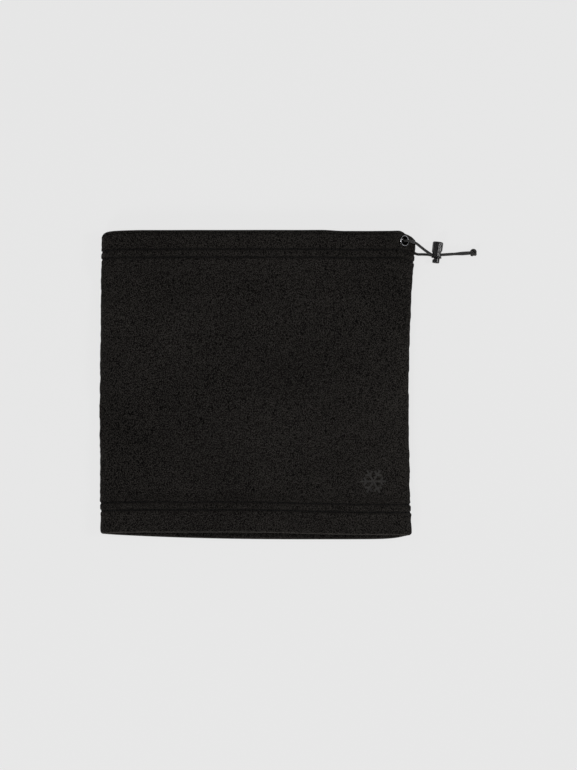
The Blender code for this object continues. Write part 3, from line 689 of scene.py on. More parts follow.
def sewn_strip(name, x, depth, ys, material):
    """A closed solid with one (x, depth) outline along the back seam, x from the seam's middle."""
    points = cloth_point(BACK_MIDDLE - x, ys[:, None], depth[None, :]).reshape(-1, 3)
    count = len(depth)
    faces = grid_faces(len(ys), count, False, True)
    faces += [list(range(count))[::-1], [len(points) - count + k for k in range(count)]]
    return face_out(new_mesh(name, points, faces, material))


def back_seam_allowance(material):
    """Two plies of fleece lying flat on the seam, with soft cut edges and a valley between them."""
    half, floor = SEAM_WIDTH / 2, PLY + SLIT
    roof, middle = floor + SEAM_HEIGHT, floor + SEAM_HEIGHT / 2
    section = [(-half, floor + 0.3 * MM), (-half + 0.5 * MM, floor), (0, floor), (half - 0.5 * MM, floor)]
    section += [(half, floor + 0.4 * MM), (half, middle - 0.5 * MM), (half - 0.6 * MM, middle)]
    section += [(half - 0.2 * MM, middle + 0.4 * MM), (half - 0.3 * MM, roof - 0.5 * MM)]
    section += [(half - 0.9 * MM, roof), (0.4 * MM, roof - 0.1 * MM), (-half + 1.0 * MM, roof - 0.3 * MM)]
    section += [(-half + 0.2 * MM, roof - 1.0 * MM)]
    x, depth = np.array(section).T
    ys = seam_ys(90)
    wave = 0.25 * MM * np.sin(ys / (7 * MM))
    return sewn_strip("seam_allowance", x[None, :] + wave[:, None], depth, ys, material)


def overlock_thread(material):
    """Loops of thread round the seam allowance's cut edge, and its needle thread."""
    turns = 62
    ys = seam_ys(turns * 14)
    phase = np.linspace(0, turns * math.tau, len(ys))
    middle = PLY + SLIT + SEAM_HEIGHT / 2
    x = 1.3 * MM + 2.5 * MM * np.cos(phase)
    depth = middle + (SEAM_HEIGHT / 2 + 0.12 * MM) * np.sin(phase)
    loops = cloth_point(BACK_MIDDLE - x, ys + 0.9 * MM * np.sin(phase + 0.5), depth)
    chain = cloth_point(
        BACK_MIDDLE + 1.1 * MM - 0.18 * MM * np.sin(phase * 2), ys, middle + SEAM_HEIGHT / 2 + 0.1 * MM
    )
    return tubes("seam_overlock", [loops, chain], LOOPER_THREAD, 5, material)


def care_label(material):
    """A folded satin ribbon, whose open end stops just short of the seam allowance."""
    length, width, thickness = 20 * MM, 30 * MM, 0.16 * MM
    open_end, low = -SEAM_WIDTH / 2 - 0.5 * MM, PLY + SLIT + thickness / 2
    bend = 0.28 * MM
    flat = np.linspace(0, length - bend, 22)
    arc = np.linspace(0, math.pi, 8)[1:-1]
    fold_x, fold_z = open_end - length + bend - bend * np.sin(arc), low + bend * (1 - np.cos(arc))
    x = np.concatenate([open_end - flat, fold_x, open_end - flat[::-1]])
    z = np.concatenate([np.full(len(flat), low), fold_z, np.full(len(flat), low + 2 * bend)])
    ys = np.linspace(-62 * MM - width / 2, -62 * MM + width / 2, 26)
    line = np.stack([x, z], 1)
    along = unit(np.gradient(line, axis=0))
    out = np.stack([-along[:, 1], along[:, 0]], 1)
    outline = np.concatenate([line + out * thickness / 2, (line - out * thickness / 2)[::-1]])
    return sewn_strip("label", outline[None, :, 0], outline[:, 1], ys, material)


# ---------------------------------------------------------------- emblem

def snowflake_outline():
    """Six arms, each with a pair of side branches, as one closed outline."""
    bar, length = 1.5 * MM, EMBLEM_RADIUS
    lean = math.radians(60)
    along = np.array((math.cos(lean), math.sin(lean)))
    out = np.array((-math.sin(lean), math.cos(lean)))
    branch_at = np.array((0.55 * length, 0))
    tip = branch_at + 0.36 * length * along
    root, foot = bar / 2 / math.sin(lean), bar / 2 / math.tan(lean)
    side = [
        branch_at + (foot - root, bar / 2), tip + out * bar / 2, tip - out * bar / 2,
        branch_at + (foot + root, bar / 2), np.array((length, bar / 2)),
    ]
    crotch = (bar * math.cos(math.radians(30)), bar / 2)
    arm = np.array([p * (1, -1) for p in side] + side[::-1] + [crotch])
    outline = []
    for k in range(6):
        c, s = math.cos(math.radians(60 * k)), math.sin(math.radians(60 * k))
        outline += [(c * x - s * y, s * x + c * y) for x, y in arm]
    return outline


def front_height(x, y):
    """Height of the settled front face under a point of the body."""
    left, right = folds_at(y)
    run = (x - left - END_REACH) / (right - left - 2 * END_REACH) * FACE_RUN
    return cloth_point(run, y - edge_shift(x, y, 1.0), 0.0)[..., 2]


def snowflake_film(material):
    """A thin printed film that follows the fleece under it."""
    place = Matrix.Translation((*EMBLEM_CENTRE, 0))
    film = prism("snowflake", snowflake_outline(), 0, 0.4 * MM, place, material)
    shape = bmesh.new()
    shape.from_mesh(film.data)
    caps = [f for f in shape.faces if len(f.verts) > 4]
    bmesh.ops.triangulate(shape, faces=caps)
    for _ in range(4):
        long_edges = [e for e in shape.edges if e.calc_length() > 0.9 * MM]
        bmesh.ops.subdivide_edges(shape, edges=long_edges, cuts=1)
        bmesh.ops.triangulate(shape, faces=[f for f in shape.faces if len(f.verts) > 4])
    shape.to_mesh(film.data)
    shape.free()
    co = np.array([v.co for v in film.data.vertices])
    height = front_height(co[:, 0], co[:, 1])
    is_top = co[:, 2] > 0.2 * MM
    co[:, 2] = height + np.where(is_top, 0.34 * MM, -0.1 * MM)
    film.data.vertices.foreach_set("co", co.ravel().astype(np.float32))
    film.data.update()
    return film


# ---------------------------------------------------------------- drawcord

def smooth_line(route, spacing):
    """Evenly spaced points on a smooth (Catmull-Rom) curve through a route's points."""
    route = np.asarray(route, float)
    ends = np.vstack([2 * route[0] - route[1], route, 2 * route[-1] - route[-2]])
    t = (np.arange(16) / 16)[:, None]
    fine = []
    for a, b, c, d in zip(ends, ends[1:], ends[2:], ends[3:]):
        square, cube = 2 * a - 5 * b + 4 * c - d, 3 * b - a - 3 * c + d
        fine.append(0.5 * (2 * b + (c - a) * t + square * t**2 + cube * t**3))
    fine = np.vstack([*fine, route[-1:]])
    along = distance_along(fine)
    even = np.linspace(0, along[-1], max(2, round(along[-1] / spacing)) + 1)
    return np.stack([np.interp(even, along, fine[:, k]) for k in range(3)], 1)


def channel_point(across, angle):
    return placed(laid(across, angle, HALF_LENGTH - CORD_INSET, PLY + CHANNEL / 2))


def strand(side, beyond, turn=0.0):
    """A point on one strand of the pair, beyond metres past the lock; turn rolls the pair."""
    way = math.copysign(STRAND_OFFSET, side)
    offset = way * (math.cos(turn) * UP + math.sin(turn) * np.cross(CORD_WAY, UP))
    drop = KNOT_DROP * smooth(7 * MM, 27 * MM, beyond)
    return LOCK_CENTRE + CORD_WAY * beyond + offset - drop * UP


def to_lock(side):
    """From the hem channel through an eyelet to the middle of the lock."""
    frame = eyelet_matrix(side)
    threading = [(-3.3, 0, -6.1), (-1.5, 0, -5.2), (-0.3, 0, -2.9), (0.6, 0, -0.3), (2.1, 0, 2.2)]
    threading.append((4.7, -0.5, 3.1) if side == FRONT else (4.3, 1.0, 3.0))
    route = [channel_point(across, side) for across in TAIL_STARTS]
    route += [np.array(frame @ (Vector(p) * MM)) for p in threading]
    if side == FRONT:
        loose = [(128.5, 113.7, 16.1), (132.8, 110.9, 12.5), (137.1, 108.0, 8.9), (140.8, 105.9, 6.4)]
    else:
        loose = [(125.5, 111.4, 4.5), (126.8, 107.9, 3.8), (130.2, 105.8, 3.3), (135.0, 105.6, 3.2)]
        loose.append((139.4, 105.4, 3.2))
    return route + [np.array(p) * MM for p in loose] + [strand(side, -3 * MM), strand(side, 0)]


def beyond_lock(side):
    turns = [(0, 0), (4, 0), (8, 0), (12, 0), (15, 0.1), (19, 0.3), (22, 0.43), (26.8, 0.35)]
    turns.append((29.2, 0.35))
    return [strand(side, beyond * MM, turn) for beyond, turn in turns]


SPLIT_BEFORE_LOCK = 2.4 * MM  # inside the lock, where the two pieces of a tail meet


def tail_paths(side, spacing):
    """A tail's line, split inside the lock: (eyelet to lock, lock to knot)."""
    line = smooth_line(to_lock(side) + beyond_lock(side)[1:], spacing)
    past = (line - LOCK_CENTRE) @ CORD_WAY
    split = int(np.argmax(past > -SPLIT_BEFORE_LOCK))
    return line[: split + 1], line[split:]


def braid(distance, angle):
    """Radius of a braid, as a share: ridges each way round that cross over and under."""
    ridges, lay = 4, 5.2 * MM
    climb = math.tau * ridges / 2 * distance / lay
    a = ridges * angle + climb
    b = ridges * angle - climb
    over = np.sin(a / 2 + b / 2) * np.sin(a / 2 - b / 2)
    ridge = np.where(over > 0, np.abs(np.cos(a)), np.abs(np.cos(b)))
    return 0.955 + 0.06 * ridge


def drawcord_in_hem(material):
    face = (1 + HEM_CORD_ENDS) / 2 * FACE_RUN
    start = FACE_RUN + FOLD_RUN + (1 - HEM_CORD_ENDS) / 2 * FACE_RUN
    runs = np.linspace(start, AROUND + face, 620)
    path = cloth_point(runs, HALF_LENGTH - CORD_INSET, PLY + CHANNEL / 2)
    return tubes("cord_in_hem", [path], CORD / 2, 12, material, ripple=braid)


def knot_point(along, across, up):
    """A point of the knot from its own directions, in millimetres from its centre."""
    centre = LOCK_CENTRE + KNOT_REACH * CORD_WAY - KNOT_DROP * UP
    along, across, up = (np.asarray(v, float)[..., None] * MM for v in (along, across, up))
    return centre + along * CORD_WAY + across * np.cross(UP, CORD_WAY) + up * UP


def knot(material):
    """A closed trefoil loop of cord, which looks like an overhand knot pulled tight."""
    t = np.linspace(0, math.tau, 360, endpoint=False)
    reach = 1.2 + 1.0 * np.cos(3 * t)
    path = knot_point(1.6 * np.sin(3 * t) + 0.15, reach * np.cos(2 * t), reach * np.sin(2 * t))
    return tubes("cord_knot", [path], KNOT_CORD, 18, material, ripple=braid, closed=True)


def cord_ends(material):
    """The two cut ends, trimmed close to the knot."""
    steps = np.linspace(0, 1, 14)
    paths = [
        knot_point(0.5 + 1.1 * steps, 1.0 + 0.7 * steps, 1.0 + 1.45 * steps),
        knot_point(0.9 + 1.55 * steps, -0.6 - 0.4 * steps, 0.7 + 1.2 * steps),
    ]
    return tubes("cord_ends", paths, CUT_END, 16, material, ripple=braid)


# ---------------------------------------------------------------- eyelets

def spun(name, profile, place, material, segments=96):
    """A closed ring turned about local Z from a closed (radius, along) profile.

    The UV map "profile" holds each point's radius and place along the axis, in millimetres.
    """
    profile = np.array(profile)
    turns = np.arange(segments) * math.tau / segments
    points = np.stack([
        profile[:, 0, None] * np.cos(turns), profile[:, 0, None] * np.sin(turns),
        profile[:, 1, None] * np.ones(segments),
    ], -1).reshape(-1, 3)
    world = [place @ Vector(p) for p in points]
    ring = face_out(new_mesh(name, world, grid_faces(len(profile), segments, True, True), material))
    add_map(ring, "profile", profile[loop_vertices(ring) // segments] / MM)
    return ring


def arc(centre, radius, start, end, steps):
    """Points of an arc in the (radius, along) plane; angles in degrees."""
    angles = np.radians(np.linspace(start, end, steps))
    return [(centre[0] + radius[0] * math.cos(a), centre[1] + radius[1] * math.sin(a)) for a in angles]


def eyelet(name, side, material):
    """A flange that dishes up to a rolled rim, and a barrel rolled outwards at its inner end."""
    hole, barrel, rim = EYELET_HOLE, EYELET_BARREL, EYELET_FLANGE
    profile = [(hole, -0.2 * MM), (hole + 0.04 * MM, 0.12 * MM), (hole + 0.22 * MM, 0.42 * MM)]
    profile += [(hole + 0.55 * MM, 0.66 * MM), (hole + 0.9 * MM, 0.82 * MM)]
    profile += arc((rim - 0.44 * MM, 0.48 * MM), (0.44 * MM, 0.44 * MM), 110, -70, 12)
    profile += [(rim - 0.35 * MM, 0.1 * MM), (hole + 0.75 * MM, 0.12 * MM)]
    profile.append((barrel + 0.06 * MM, -0.02 * MM))
    end = -EYELET_DEPTH + 0.45 * MM
    profile += [(barrel, -0.3 * MM), (barrel, end)]
    profile += [(barrel + 0.35 * MM, end + 0.05 * MM), (barrel + 0.62 * MM, end - 0.1 * MM)]
    profile += [(barrel + 0.6 * MM, -EYELET_DEPTH + 0.1 * MM), (barrel + 0.3 * MM, -EYELET_DEPTH)]
    profile += [(hole + 0.1 * MM, -EYELET_DEPTH + 0.1 * MM), (hole, end)]
    return spun(name, profile, eyelet_matrix(side), material)


# ---------------------------------------------------------------- cord lock

LOCK_FRAME = (
    Matrix.Translation(LOCK_CENTRE)
    @ Matrix.Rotation(-LOCK_TILT, 4, "Z")
    @ Matrix.Rotation(math.radians(-90), 4, "X")
)
HOLE_FRAME = (
    Matrix.Translation(LOCK_CENTRE)
    @ Matrix.Rotation(CORD_RISE, 4, "Z")
    @ Matrix.Rotation(math.radians(90), 4, "Y")
)


def cord_hole(low, high):
    half, corner = CORD_HOLE_WIDTH / 2, CORD_HOLE_CORNER
    outline = []
    for x, y, start in ((half, high, 0), (-half, high, 90), (-half, low, 180), (half, low, 270)):
        middle = (math.copysign(half - corner, x), y - math.copysign(corner, y))
        for k in range(8):
            angle = math.radians(start + 90 * k / 7)
            outline.append((middle[0] + corner * math.cos(angle), middle[1] + corner * math.sin(angle)))
    return outline


def lathe_with_flutes(name, profile, flutes, depth, material, segments=128):
    """A closed solid turned about the lock's axis, from (radius, along, share of the flutes)."""
    turns = np.arange(segments) * math.tau / segments
    groove = np.abs(np.sin(turns * flutes / 2)) ** 5
    points, rows = [], []
    for radius, along, share in profile:
        scaled = radius * (1 - depth * share * groove)
        rows.append(len(points))
        points += [(r * math.cos(a), r * math.sin(a), along) for r, a in zip(scaled, turns)]
    faces = grid_faces(len(profile), segments, False, True)
    faces += [list(range(segments))[::-1], [rows[-1] + k for k in range(segments)]]
    world = [LOCK_FRAME @ Vector(p) for p in points]
    return face_out(new_mesh(name, world, faces, material))


def lock_barrel(material):
    """A moulded housing with soft flutes, a rolled rim and a domed closed end."""
    r = LOCK_RADIUS
    profile = [(0.86 * r, LOCK_RIM, 0), (0.95 * r, LOCK_RIM + 0.12 * MM, 0)]
    profile += [(0.99 * r, LOCK_RIM + 0.4 * MM, 0), (0.99 * r, LOCK_RIM + 0.7 * MM, 0)]
    profile.append((0.98 * r, LOCK_RIM + 1.0 * MM, 0))
    profile += [(0.945 * r, LOCK_RIM + 1.2 * MM, 0.3), (0.95 * r, LOCK_RIM + 1.6 * MM, 1)]
    top = LOCK_TOP - 1.0 * MM
    sides = np.linspace(LOCK_RIM + 2.2 * MM, top - 0.6 * MM, 12)
    profile += [((0.95 + 0.05 * (a - LOCK_RIM) / (top - LOCK_RIM)) * r, a, 1) for a in sides]
    profile += [(r, top - 0.2 * MM, 0.8), (0.99 * r, top + 0.1 * MM, 0.3)]
    for angle in np.radians(np.linspace(12, 78, 7)):
        profile.append((0.98 * r * (0.8 + 0.2 * math.cos(angle)), top + 0.9 * MM * math.sin(angle), 0))
    profile += [(0.62 * r, LOCK_TOP - 0.02 * MM, 0), (0.3 * r, LOCK_TOP, 0), (0.06 * r, LOCK_TOP, 0)]
    barrel = lathe_with_flutes("lock_barrel", profile, 8, 0.075, material)
    punch(barrel, circle(LOCK_BORE, 64), LOCK_RIM - MM, BORE_END, LOCK_FRAME)
    hole = cord_hole(-CORD_HOLE_REST, CORD_HOLE_REST + 1.2 * MM)
    punch(barrel, hole, -THROUGH, THROUGH, HOLE_FRAME)
    below_rim = Matrix.Translation((0, 0, LOCK_RIM - SCALLOP_DROP))
    scallop = LOCK_FRAME @ below_rim @ Matrix.Rotation(math.pi / 2, 4, "X")
    punch(barrel, circle(SCALLOP_RADIUS, 64), -THROUGH, THROUGH, scallop)
    return barrel


def lock_plunger(material):
    """A piston with a long cord slot and a rounded, dished thumb end."""
    head, piston = PLUNGER_HEAD_RADIUS, PLUNGER_RADIUS
    profile = [(0.05 * head, PLUNGER_END + 0.45 * MM, 0), (0.45 * head, PLUNGER_END + 0.36 * MM, 0)]
    profile += [(0.68 * head, PLUNGER_END + 0.12 * MM, 0), (0.8 * head, PLUNGER_END, 0)]
    profile += [(0.92 * head, PLUNGER_END + 0.08 * MM, 0), (head, PLUNGER_END + 0.4 * MM, 0)]
    profile += [(head, a, 1) for a in np.linspace(PLUNGER_END + 0.9 * MM, LOCK_RIM - 0.7 * MM, 5)]
    profile += [(head, LOCK_RIM - 0.4 * MM, 0), (piston, LOCK_RIM - 0.05 * MM, 0)]
    profile += [(piston, a, 0) for a in np.linspace(LOCK_RIM + 0.4 * MM, PLUNGER_TOP - 0.4 * MM, 6)]
    profile += [(piston - 0.35 * MM, PLUNGER_TOP, 0), (0.1 * piston, PLUNGER_TOP, 0)]
    plunger = lathe_with_flutes("lock_plunger", profile, 10, 0.05, material, 80)
    slot = cord_hole(-CORD_HOLE_REST - PLUNGER_TRAVEL, CORD_HOLE_REST)
    punch(plunger, slot, -THROUGH, THROUGH, HOLE_FRAME)
    return plunger


def lock_spring(material):
    wire, coil, turns = 0.25 * MM, 2.3 * MM, 6
    low, high = SPRING_LOW + wire, SPRING_HIGH - wire
    angle = np.linspace(0, turns * math.tau, turns * 28)
    share = angle / angle[-1]
    share = share + 0.035 * np.sin(2 * math.tau * share)
    line = [
        LOCK_FRAME @ Vector((coil * math.cos(a), coil * math.sin(a), low + (high - low) * s))
        for a, s in zip(angle, share)
    ]
    return tubes("lock_spring", [np.array(line)], wire, 10, material)


# ---------------------------------------------------------------- materials

class Look:
    """A node material under construction."""

    def __init__(self, name, roughness, metallic=0.0):
        self.material = bpy.data.materials.new(name)
        self.material.use_nodes = True
        self.nodes, self.links = self.material.node_tree.nodes, self.material.node_tree.links
        self.shader = self.nodes["Principled BSDF"]
        self.shader.inputs["Roughness"].default_value = roughness
        self.shader.inputs["Metallic"].default_value = metallic
        self.space = self.nodes.new("ShaderNodeTexCoord").outputs["Object"]

    def set(self, **values):
        for name, value in values.items():
            self.shader.inputs[name.replace("_", " ")].default_value = value

    def link(self, source, target):
        self.links.new(source, target)

    def uv(self, name):
        node = self.nodes.new("ShaderNodeUVMap")
        node.uv_map = name
        return node.outputs["UV"]

    def scaled(self, *scale):
        node = self.nodes.new("ShaderNodeMapping")
        node.inputs["Scale"].default_value = scale
        self.link(self.space, node.inputs["Vector"])
        return node.outputs["Vector"]

    def noise(self, scale, detail=2.0, roughness=0.5, vector=None):
        node = self.nodes.new("ShaderNodeTexNoise")
        node.inputs["Scale"].default_value = scale
        node.inputs["Detail"].default_value = detail
        node.inputs["Roughness"].default_value = roughness
        self.link(vector or self.space, node.inputs["Vector"])
        return node.outputs["Fac"]

    def cells(self, scale, vector=None, feature="F1"):
        node = self.nodes.new("ShaderNodeTexVoronoi")
        node.feature = feature
        node.inputs["Scale"].default_value = scale
        self.link(vector or self.space, node.inputs["Vector"])
        return node.outputs["Distance"]

    def math(self, operation, *terms):
        node = self.nodes.new("ShaderNodeMath")
        node.operation = operation
        for socket, term in zip(node.inputs, terms):
            if isinstance(term, (int, float)):
                socket.default_value = term
            else:
                self.link(term, socket)
        return node.outputs["Value"]

    def bell(self, value, middle, width):
        """1 where value is at middle, and falling away on both sides."""
        away = self.math("DIVIDE", self.math("SUBTRACT", value, middle), width)
        return self.math("EXPONENT", self.math("MULTIPLY", self.math("POWER", away, 2.0), -1.0))

    def wave(self, *terms):
        """Sine of the sum of one or two values, each given with its factor."""
        parts = [self.math("MULTIPLY", value, rate) for value, rate in terms]
        return self.math("SINE", self.math("ADD", *parts) if len(parts) > 1 else parts[0])

    def ramp(self, factor, *stops):
        """stops are (position, (r, g, b))."""
        node = self.nodes.new("ShaderNodeValToRGB")
        elements = node.color_ramp.elements
        while len(elements) < len(stops):
            elements.new(0.5)
        for element, (position, colour) in zip(elements, stops):
            element.position = position
            element.color = (*colour, 1)
        self.link(factor, node.inputs["Fac"])
        return node.outputs["Color"]

    def spread(self, factor, low, high, to_low, to_high):
        node = self.nodes.new("ShaderNodeMapRange")
        ends = {"From Min": low, "From Max": high, "To Min": to_low, "To Max": to_high}
        for name, value in ends.items():
            node.inputs[name].default_value = value
        self.link(factor, node.inputs["Value"])
        return node.outputs["Result"]

    def parts(self, vector):
        node = self.nodes.new("ShaderNodeSeparateXYZ")
        self.link(vector, node.inputs["Vector"])
        return node.outputs["X"], node.outputs["Y"], node.outputs["Z"]

    def bump(self, height, distance, strength=1.0):
        node = self.nodes.new("ShaderNodeBump")
        node.inputs["Distance"].default_value = distance
        node.inputs["Strength"].default_value = strength
        self.link(height, node.inputs["Height"])
        return node.outputs["Normal"]

    def colour(self, socket):
        self.link(socket, self.shader.inputs["Base Color"])

    def rough(self, socket):
        self.link(socket, self.shader.inputs["Roughness"])

    def normal(self, socket):
        self.link(socket, self.shader.inputs["Normal"])


def grey(value, warmth=0.0):
    return (value * (1 + warmth), value, value * (1 - warmth))


def plain_material():
    return bpy.data.materials.get("draft") or bpy.data.materials.new("draft")


def fleece_look(name="fleece", puckers=True):
    """Short polyester pile: nubs with dark gaps between them, puckers where stitches pull with painted
    shade along the rows, and a painted highlight along the bottom hem's fold.
    """
    look = Look(name, 0.95)
    look.set(Sheen_Weight=0.03, Sheen_Roughness=0.5, Specular_IOR_Level=0.03)
    look.set(Sheen_Tint=(1.0, 0.95, 0.9, 1))
    nubs = look.math("SUBTRACT", 1.04, look.cells(2150, look.scaled(1.0, 0.45, 1.0)))
    fibres = look.noise(2900, 2.0, 0.6, look.scaled(1.0, 0.65, 1.0))
    patches = look.noise(13, 1.0, 0.5)
    pile = look.math("MULTIPLY_ADD", fibres, 0.4, look.math("MULTIPLY", nubs, 0.6))
    tone = look.math("MULTIPLY_ADD", patches, 0.08, look.math("SUBTRACT", pile, 0.04))
    height = pile
    if puckers:
        u, v, _ = look.parts(look.uv("cloth"))
        waves = look.math("COSINE", look.math("MULTIPLY", u, math.tau * round(AROUND / STITCH) / AROUND))
        pulled = look.math("MULTIPLY_ADD", waves, 0.3, 0.7)
        # shade is how far each row's painted shade darkens the colour in its furrow
        for row, shade in (
            (HALF_LENGTH - TOP_ROW, 0.12), (HALF_LENGTH - TOP_ROW - NEEDLE_GAUGE, 0.10),
            (BOTTOM_ROW - HALF_LENGTH, 0.15), (BOTTOM_ROW + NEEDLE_GAUGE - HALF_LENGTH, 0.11),
        ):
            dent_and_painted_shade = look.math("MULTIPLY", look.bell(v, row, 0.6 * MM), pulled)
            height = look.math("MULTIPLY_ADD", dent_and_painted_shade, -0.9, height)
            # the same dent darkens the colour: painted shade in the stitch furrow, besides the real bump
            tone = look.math("MULTIPLY_ADD", dent_and_painted_shade, -shade, tone)
        # painted highlight: a lighter line of colour along the bottom hem's folded edge
        painted_highlight = look.bell(v, 0.2 * MM - HALF_LENGTH, 0.75 * MM)
        tone = look.math("MULTIPLY_ADD", painted_highlight, 0.16, tone)
    look.colour(look.ramp(
        tone, (0.33, grey(0.0)), (0.43, grey(0.0026, 0.07)), (0.51, grey(0.0094, 0.08)),
        (0.62, grey(0.030, 0.09)), (0.74, grey(0.062, 0.09)),
    ))
    look.normal(look.bump(height, 0.6 * MM))
    return look.material


def thread_look():
    """Spun polyester thread: two plies twisted together."""
    look = Look("thread", 0.55)
    look.set(Sheen_Weight=0.05, Sheen_Roughness=0.4, Specular_IOR_Level=0.15)
    u, v, _ = look.parts(look.uv("cord"))
    twist = look.wave((u, math.tau / (0.55 * MM)), (v, 2.0))
    hairs = look.noise(6000, 2.0, 0.6)
    look.colour(look.ramp(
        look.math("MULTIPLY_ADD", twist, 0.3, hairs), (0.2, grey(0.0015)), (0.8, grey(0.006, 0.03)),
    ))
    look.normal(look.bump(look.math("MULTIPLY_ADD", hairs, 0.4, twist), 0.06 * MM))
    return look.material


def cord_look():
    """Braided polyester: fine yarns, and uneven wear."""
    look = Look("cord", 0.48)
    look.set(Sheen_Weight=0.08, Sheen_Roughness=0.35, Specular_IOR_Level=0.4)
    u, v, _ = look.parts(look.uv("cord"))
    yarns = look.wave((u, math.tau / (0.42 * MM)), (v, 8.0))
    fibres = look.noise(5200, 2.0, 0.6)
    wear = look.noise(420, 2.0, 0.5)
    worn = look.math("MULTIPLY", look.math("SUBTRACT", wear, 0.5), 0.3)
    tone = look.math("ADD", look.math("MULTIPLY_ADD", yarns, 0.12, fibres), worn)
    look.colour(look.ramp(tone, (0.25, grey(0.005)), (0.5, grey(0.016, 0.03)), (0.8, grey(0.045, 0.05))))
    look.rough(look.spread(fibres, 0.3, 0.7, 0.4, 0.6))
    look.normal(look.bump(look.math("MULTIPLY_ADD", fibres, 0.5, yarns), 0.05 * MM))
    return look.material


def plastic_look():
    """Moulded nylon: a fine texture, paler and a little rougher in places."""
    look = Look("lock_plastic", 0.2)
    look.set(Specular_IOR_Level=0.5)
    texture = look.noise(3400, 3.0, 0.6)
    rubbed = look.noise(260, 3.0, 0.6)
    flow = look.noise(90, 2.0, 0.5)
    look.colour(look.ramp(
        look.math("MULTIPLY_ADD", flow, 0.4, look.math("MULTIPLY", rubbed, 0.6)),
        (0.3, (0.003, 0.003, 0.0032)), (0.7, (0.008, 0.0083, 0.0087)),
    ))
    look.rough(look.spread(rubbed, 0.35, 0.65, 0.15, 0.27))
    look.normal(look.bump(texture, 0.012 * MM, 0.5))
    return look.material


def metal_look(name, colour, roughness, scratch, rim=None):
    """Plated metal with fine polishing marks; rim is the radius of a painted highlight, a bright line of
    bare-metal colour along the crest.
    """
    look = Look(name, roughness, 1.0)
    marks = look.noise(900, 3.0, 0.6, look.scaled(1.0, 6.0, 1.0))
    worn = look.noise(520, 3.0, 0.65)
    if rim:
        radius, height, _ = look.parts(look.uv("profile"))
        outer_face = look.math("GREATER_THAN", height, 0.3)
        # painted highlight: a bright band of metal colour along the rim's crest, on the outer face
        painted_highlight = look.math("MULTIPLY", look.bell(radius, rim / MM, 0.22), outer_face)
        worn = look.math("MULTIPLY_ADD", worn, 0.3, look.math("MULTIPLY", painted_highlight, 0.65))
    # with a rim, the top colour is far brighter, for the painted highlight
    dark, bright = (tuple(share * c for c in colour) for share in (0.5, 15.0 if rim else 1.5))
    look.colour(look.ramp(worn, (0.2, dark), (0.5, colour), (0.8, tuple(min(1, c) for c in bright))))
    look.rough(look.spread(marks, 0.3, 0.7, roughness - 0.09, roughness + 0.12))
    look.normal(look.bump(marks, scratch))
    return look.material


def satin_look():
    """Woven satin ribbon: fine warp floats along it."""
    look = Look("satin_label", 0.34)
    look.set(Sheen_Weight=0.3, Sheen_Roughness=0.3, Specular_IOR_Level=0.6)
    x, y, _ = look.parts(look.space)
    warp, weft = look.wave((x, math.tau / (0.22 * MM))), look.wave((y, math.tau / (0.9 * MM)))
    weave = look.math("MULTIPLY_ADD", weft, 0.35, warp)
    uneven = look.noise(700, 2.0, 0.6)
    tone = look.math("MULTIPLY_ADD", weave, 0.14, uneven)
    look.colour(look.ramp(tone, (0.2, grey(0.014)), (0.8, grey(0.045))))
    look.normal(look.bump(weave, 0.03 * MM))
    return look.material


def film_look():
    """Rubbery transfer film, pressed into the pile and finely crazed."""
    look = Look("transfer_film", 0.5)
    look.set(Specular_IOR_Level=0.15)
    pressed = look.noise(900, 3.0, 0.6)
    crazing = look.cells(420, feature="DISTANCE_TO_EDGE")
    cracks = look.math("LESS_THAN", crazing, 0.035)
    tone = look.math("SUBTRACT", pressed, look.math("MULTIPLY", cracks, 0.3))
    look.colour(look.ramp(
        tone, (0.2, grey(0.019, 0.05)), (0.5, grey(0.034, 0.06)), (0.75, grey(0.048, 0.06)),
    ))
    look.rough(look.spread(pressed, 0.3, 0.7, 0.42, 0.62))
    look.normal(look.bump(tone, 0.12 * MM))
    return look.material


# ---------------------------------------------------------------- studio

def studio():
    """A table that glows pale, a room that darkens upwards, and three soft lights."""
    bpy.ops.mesh.primitive_plane_add(size=30, location=(0, 0, -0.2 * MM))
    table = bpy.context.object
    table.name = "table"
    look = Look("table", 0.9)
    look.set(Base_Color=(0.07, 0.07, 0.07, 1), Specular_IOR_Level=0.0)
    look.set(Emission_Color=(1, 1, 1, 1), Emission_Strength=TABLE_GLOW)
    table.data.materials.append(look.material)

    world = bpy.data.worlds.new("room")
    world.use_nodes = True
    background = world.node_tree.nodes["Background"]
    nodes, links = world.node_tree.nodes, world.node_tree.links
    direction = nodes.new("ShaderNodeSeparateXYZ")
    links.new(nodes.new("ShaderNodeTexCoord").outputs["Generated"], direction.inputs["Vector"])
    shade = nodes.new("ShaderNodeValToRGB")
    while len(shade.color_ramp.elements) < len(ROOM):
        shade.color_ramp.elements.new(0.5)
    for element, (height, brightness) in zip(shade.color_ramp.elements, ROOM):
        element.position, element.color = height, (brightness, brightness, brightness, 1)
    links.new(direction.outputs["Z"], shade.inputs["Fac"])
    links.new(shade.outputs["Color"], background.inputs["Color"])
    bpy.context.scene.world = world

    for name, place, size, power in LAMPS:
        lamp = bpy.data.lights.new(name, "AREA")
        lamp.size, lamp.energy = size, power
        lamp_object = bpy.data.objects.new(name, lamp)
        lamp_object.location = place
        aim = Vector((0.05, 0, 0)) - Vector(place)
        lamp_object.rotation_euler = aim.to_track_quat("-Z", "Y").to_euler()
        lamp_object.visible_camera = False
        bpy.context.scene.collection.objects.link(lamp_object)
    bpy.context.scene.view_settings.view_transform = "Standard"


def camera():
    lens = bpy.data.cameras.new("camera")
    lens.lens, lens.sensor_width = CAMERA_LENS, CAMERA_SENSOR
    lens.clip_start, lens.clip_end = 0.01, 20
    made = bpy.data.objects.new("camera", lens)
    x, y, z = CAMERA_LOOKS_AT
    made.location = (x, y, z + CAMERA_DISTANCE)
    bpy.context.scene.collection.objects.link(made)
    bpy.context.scene.camera = made


# ---------------------------------------------------------------- assembly

def rides(piece, body, nodes):
    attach(piece, body)
    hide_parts(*nodes)
    return piece


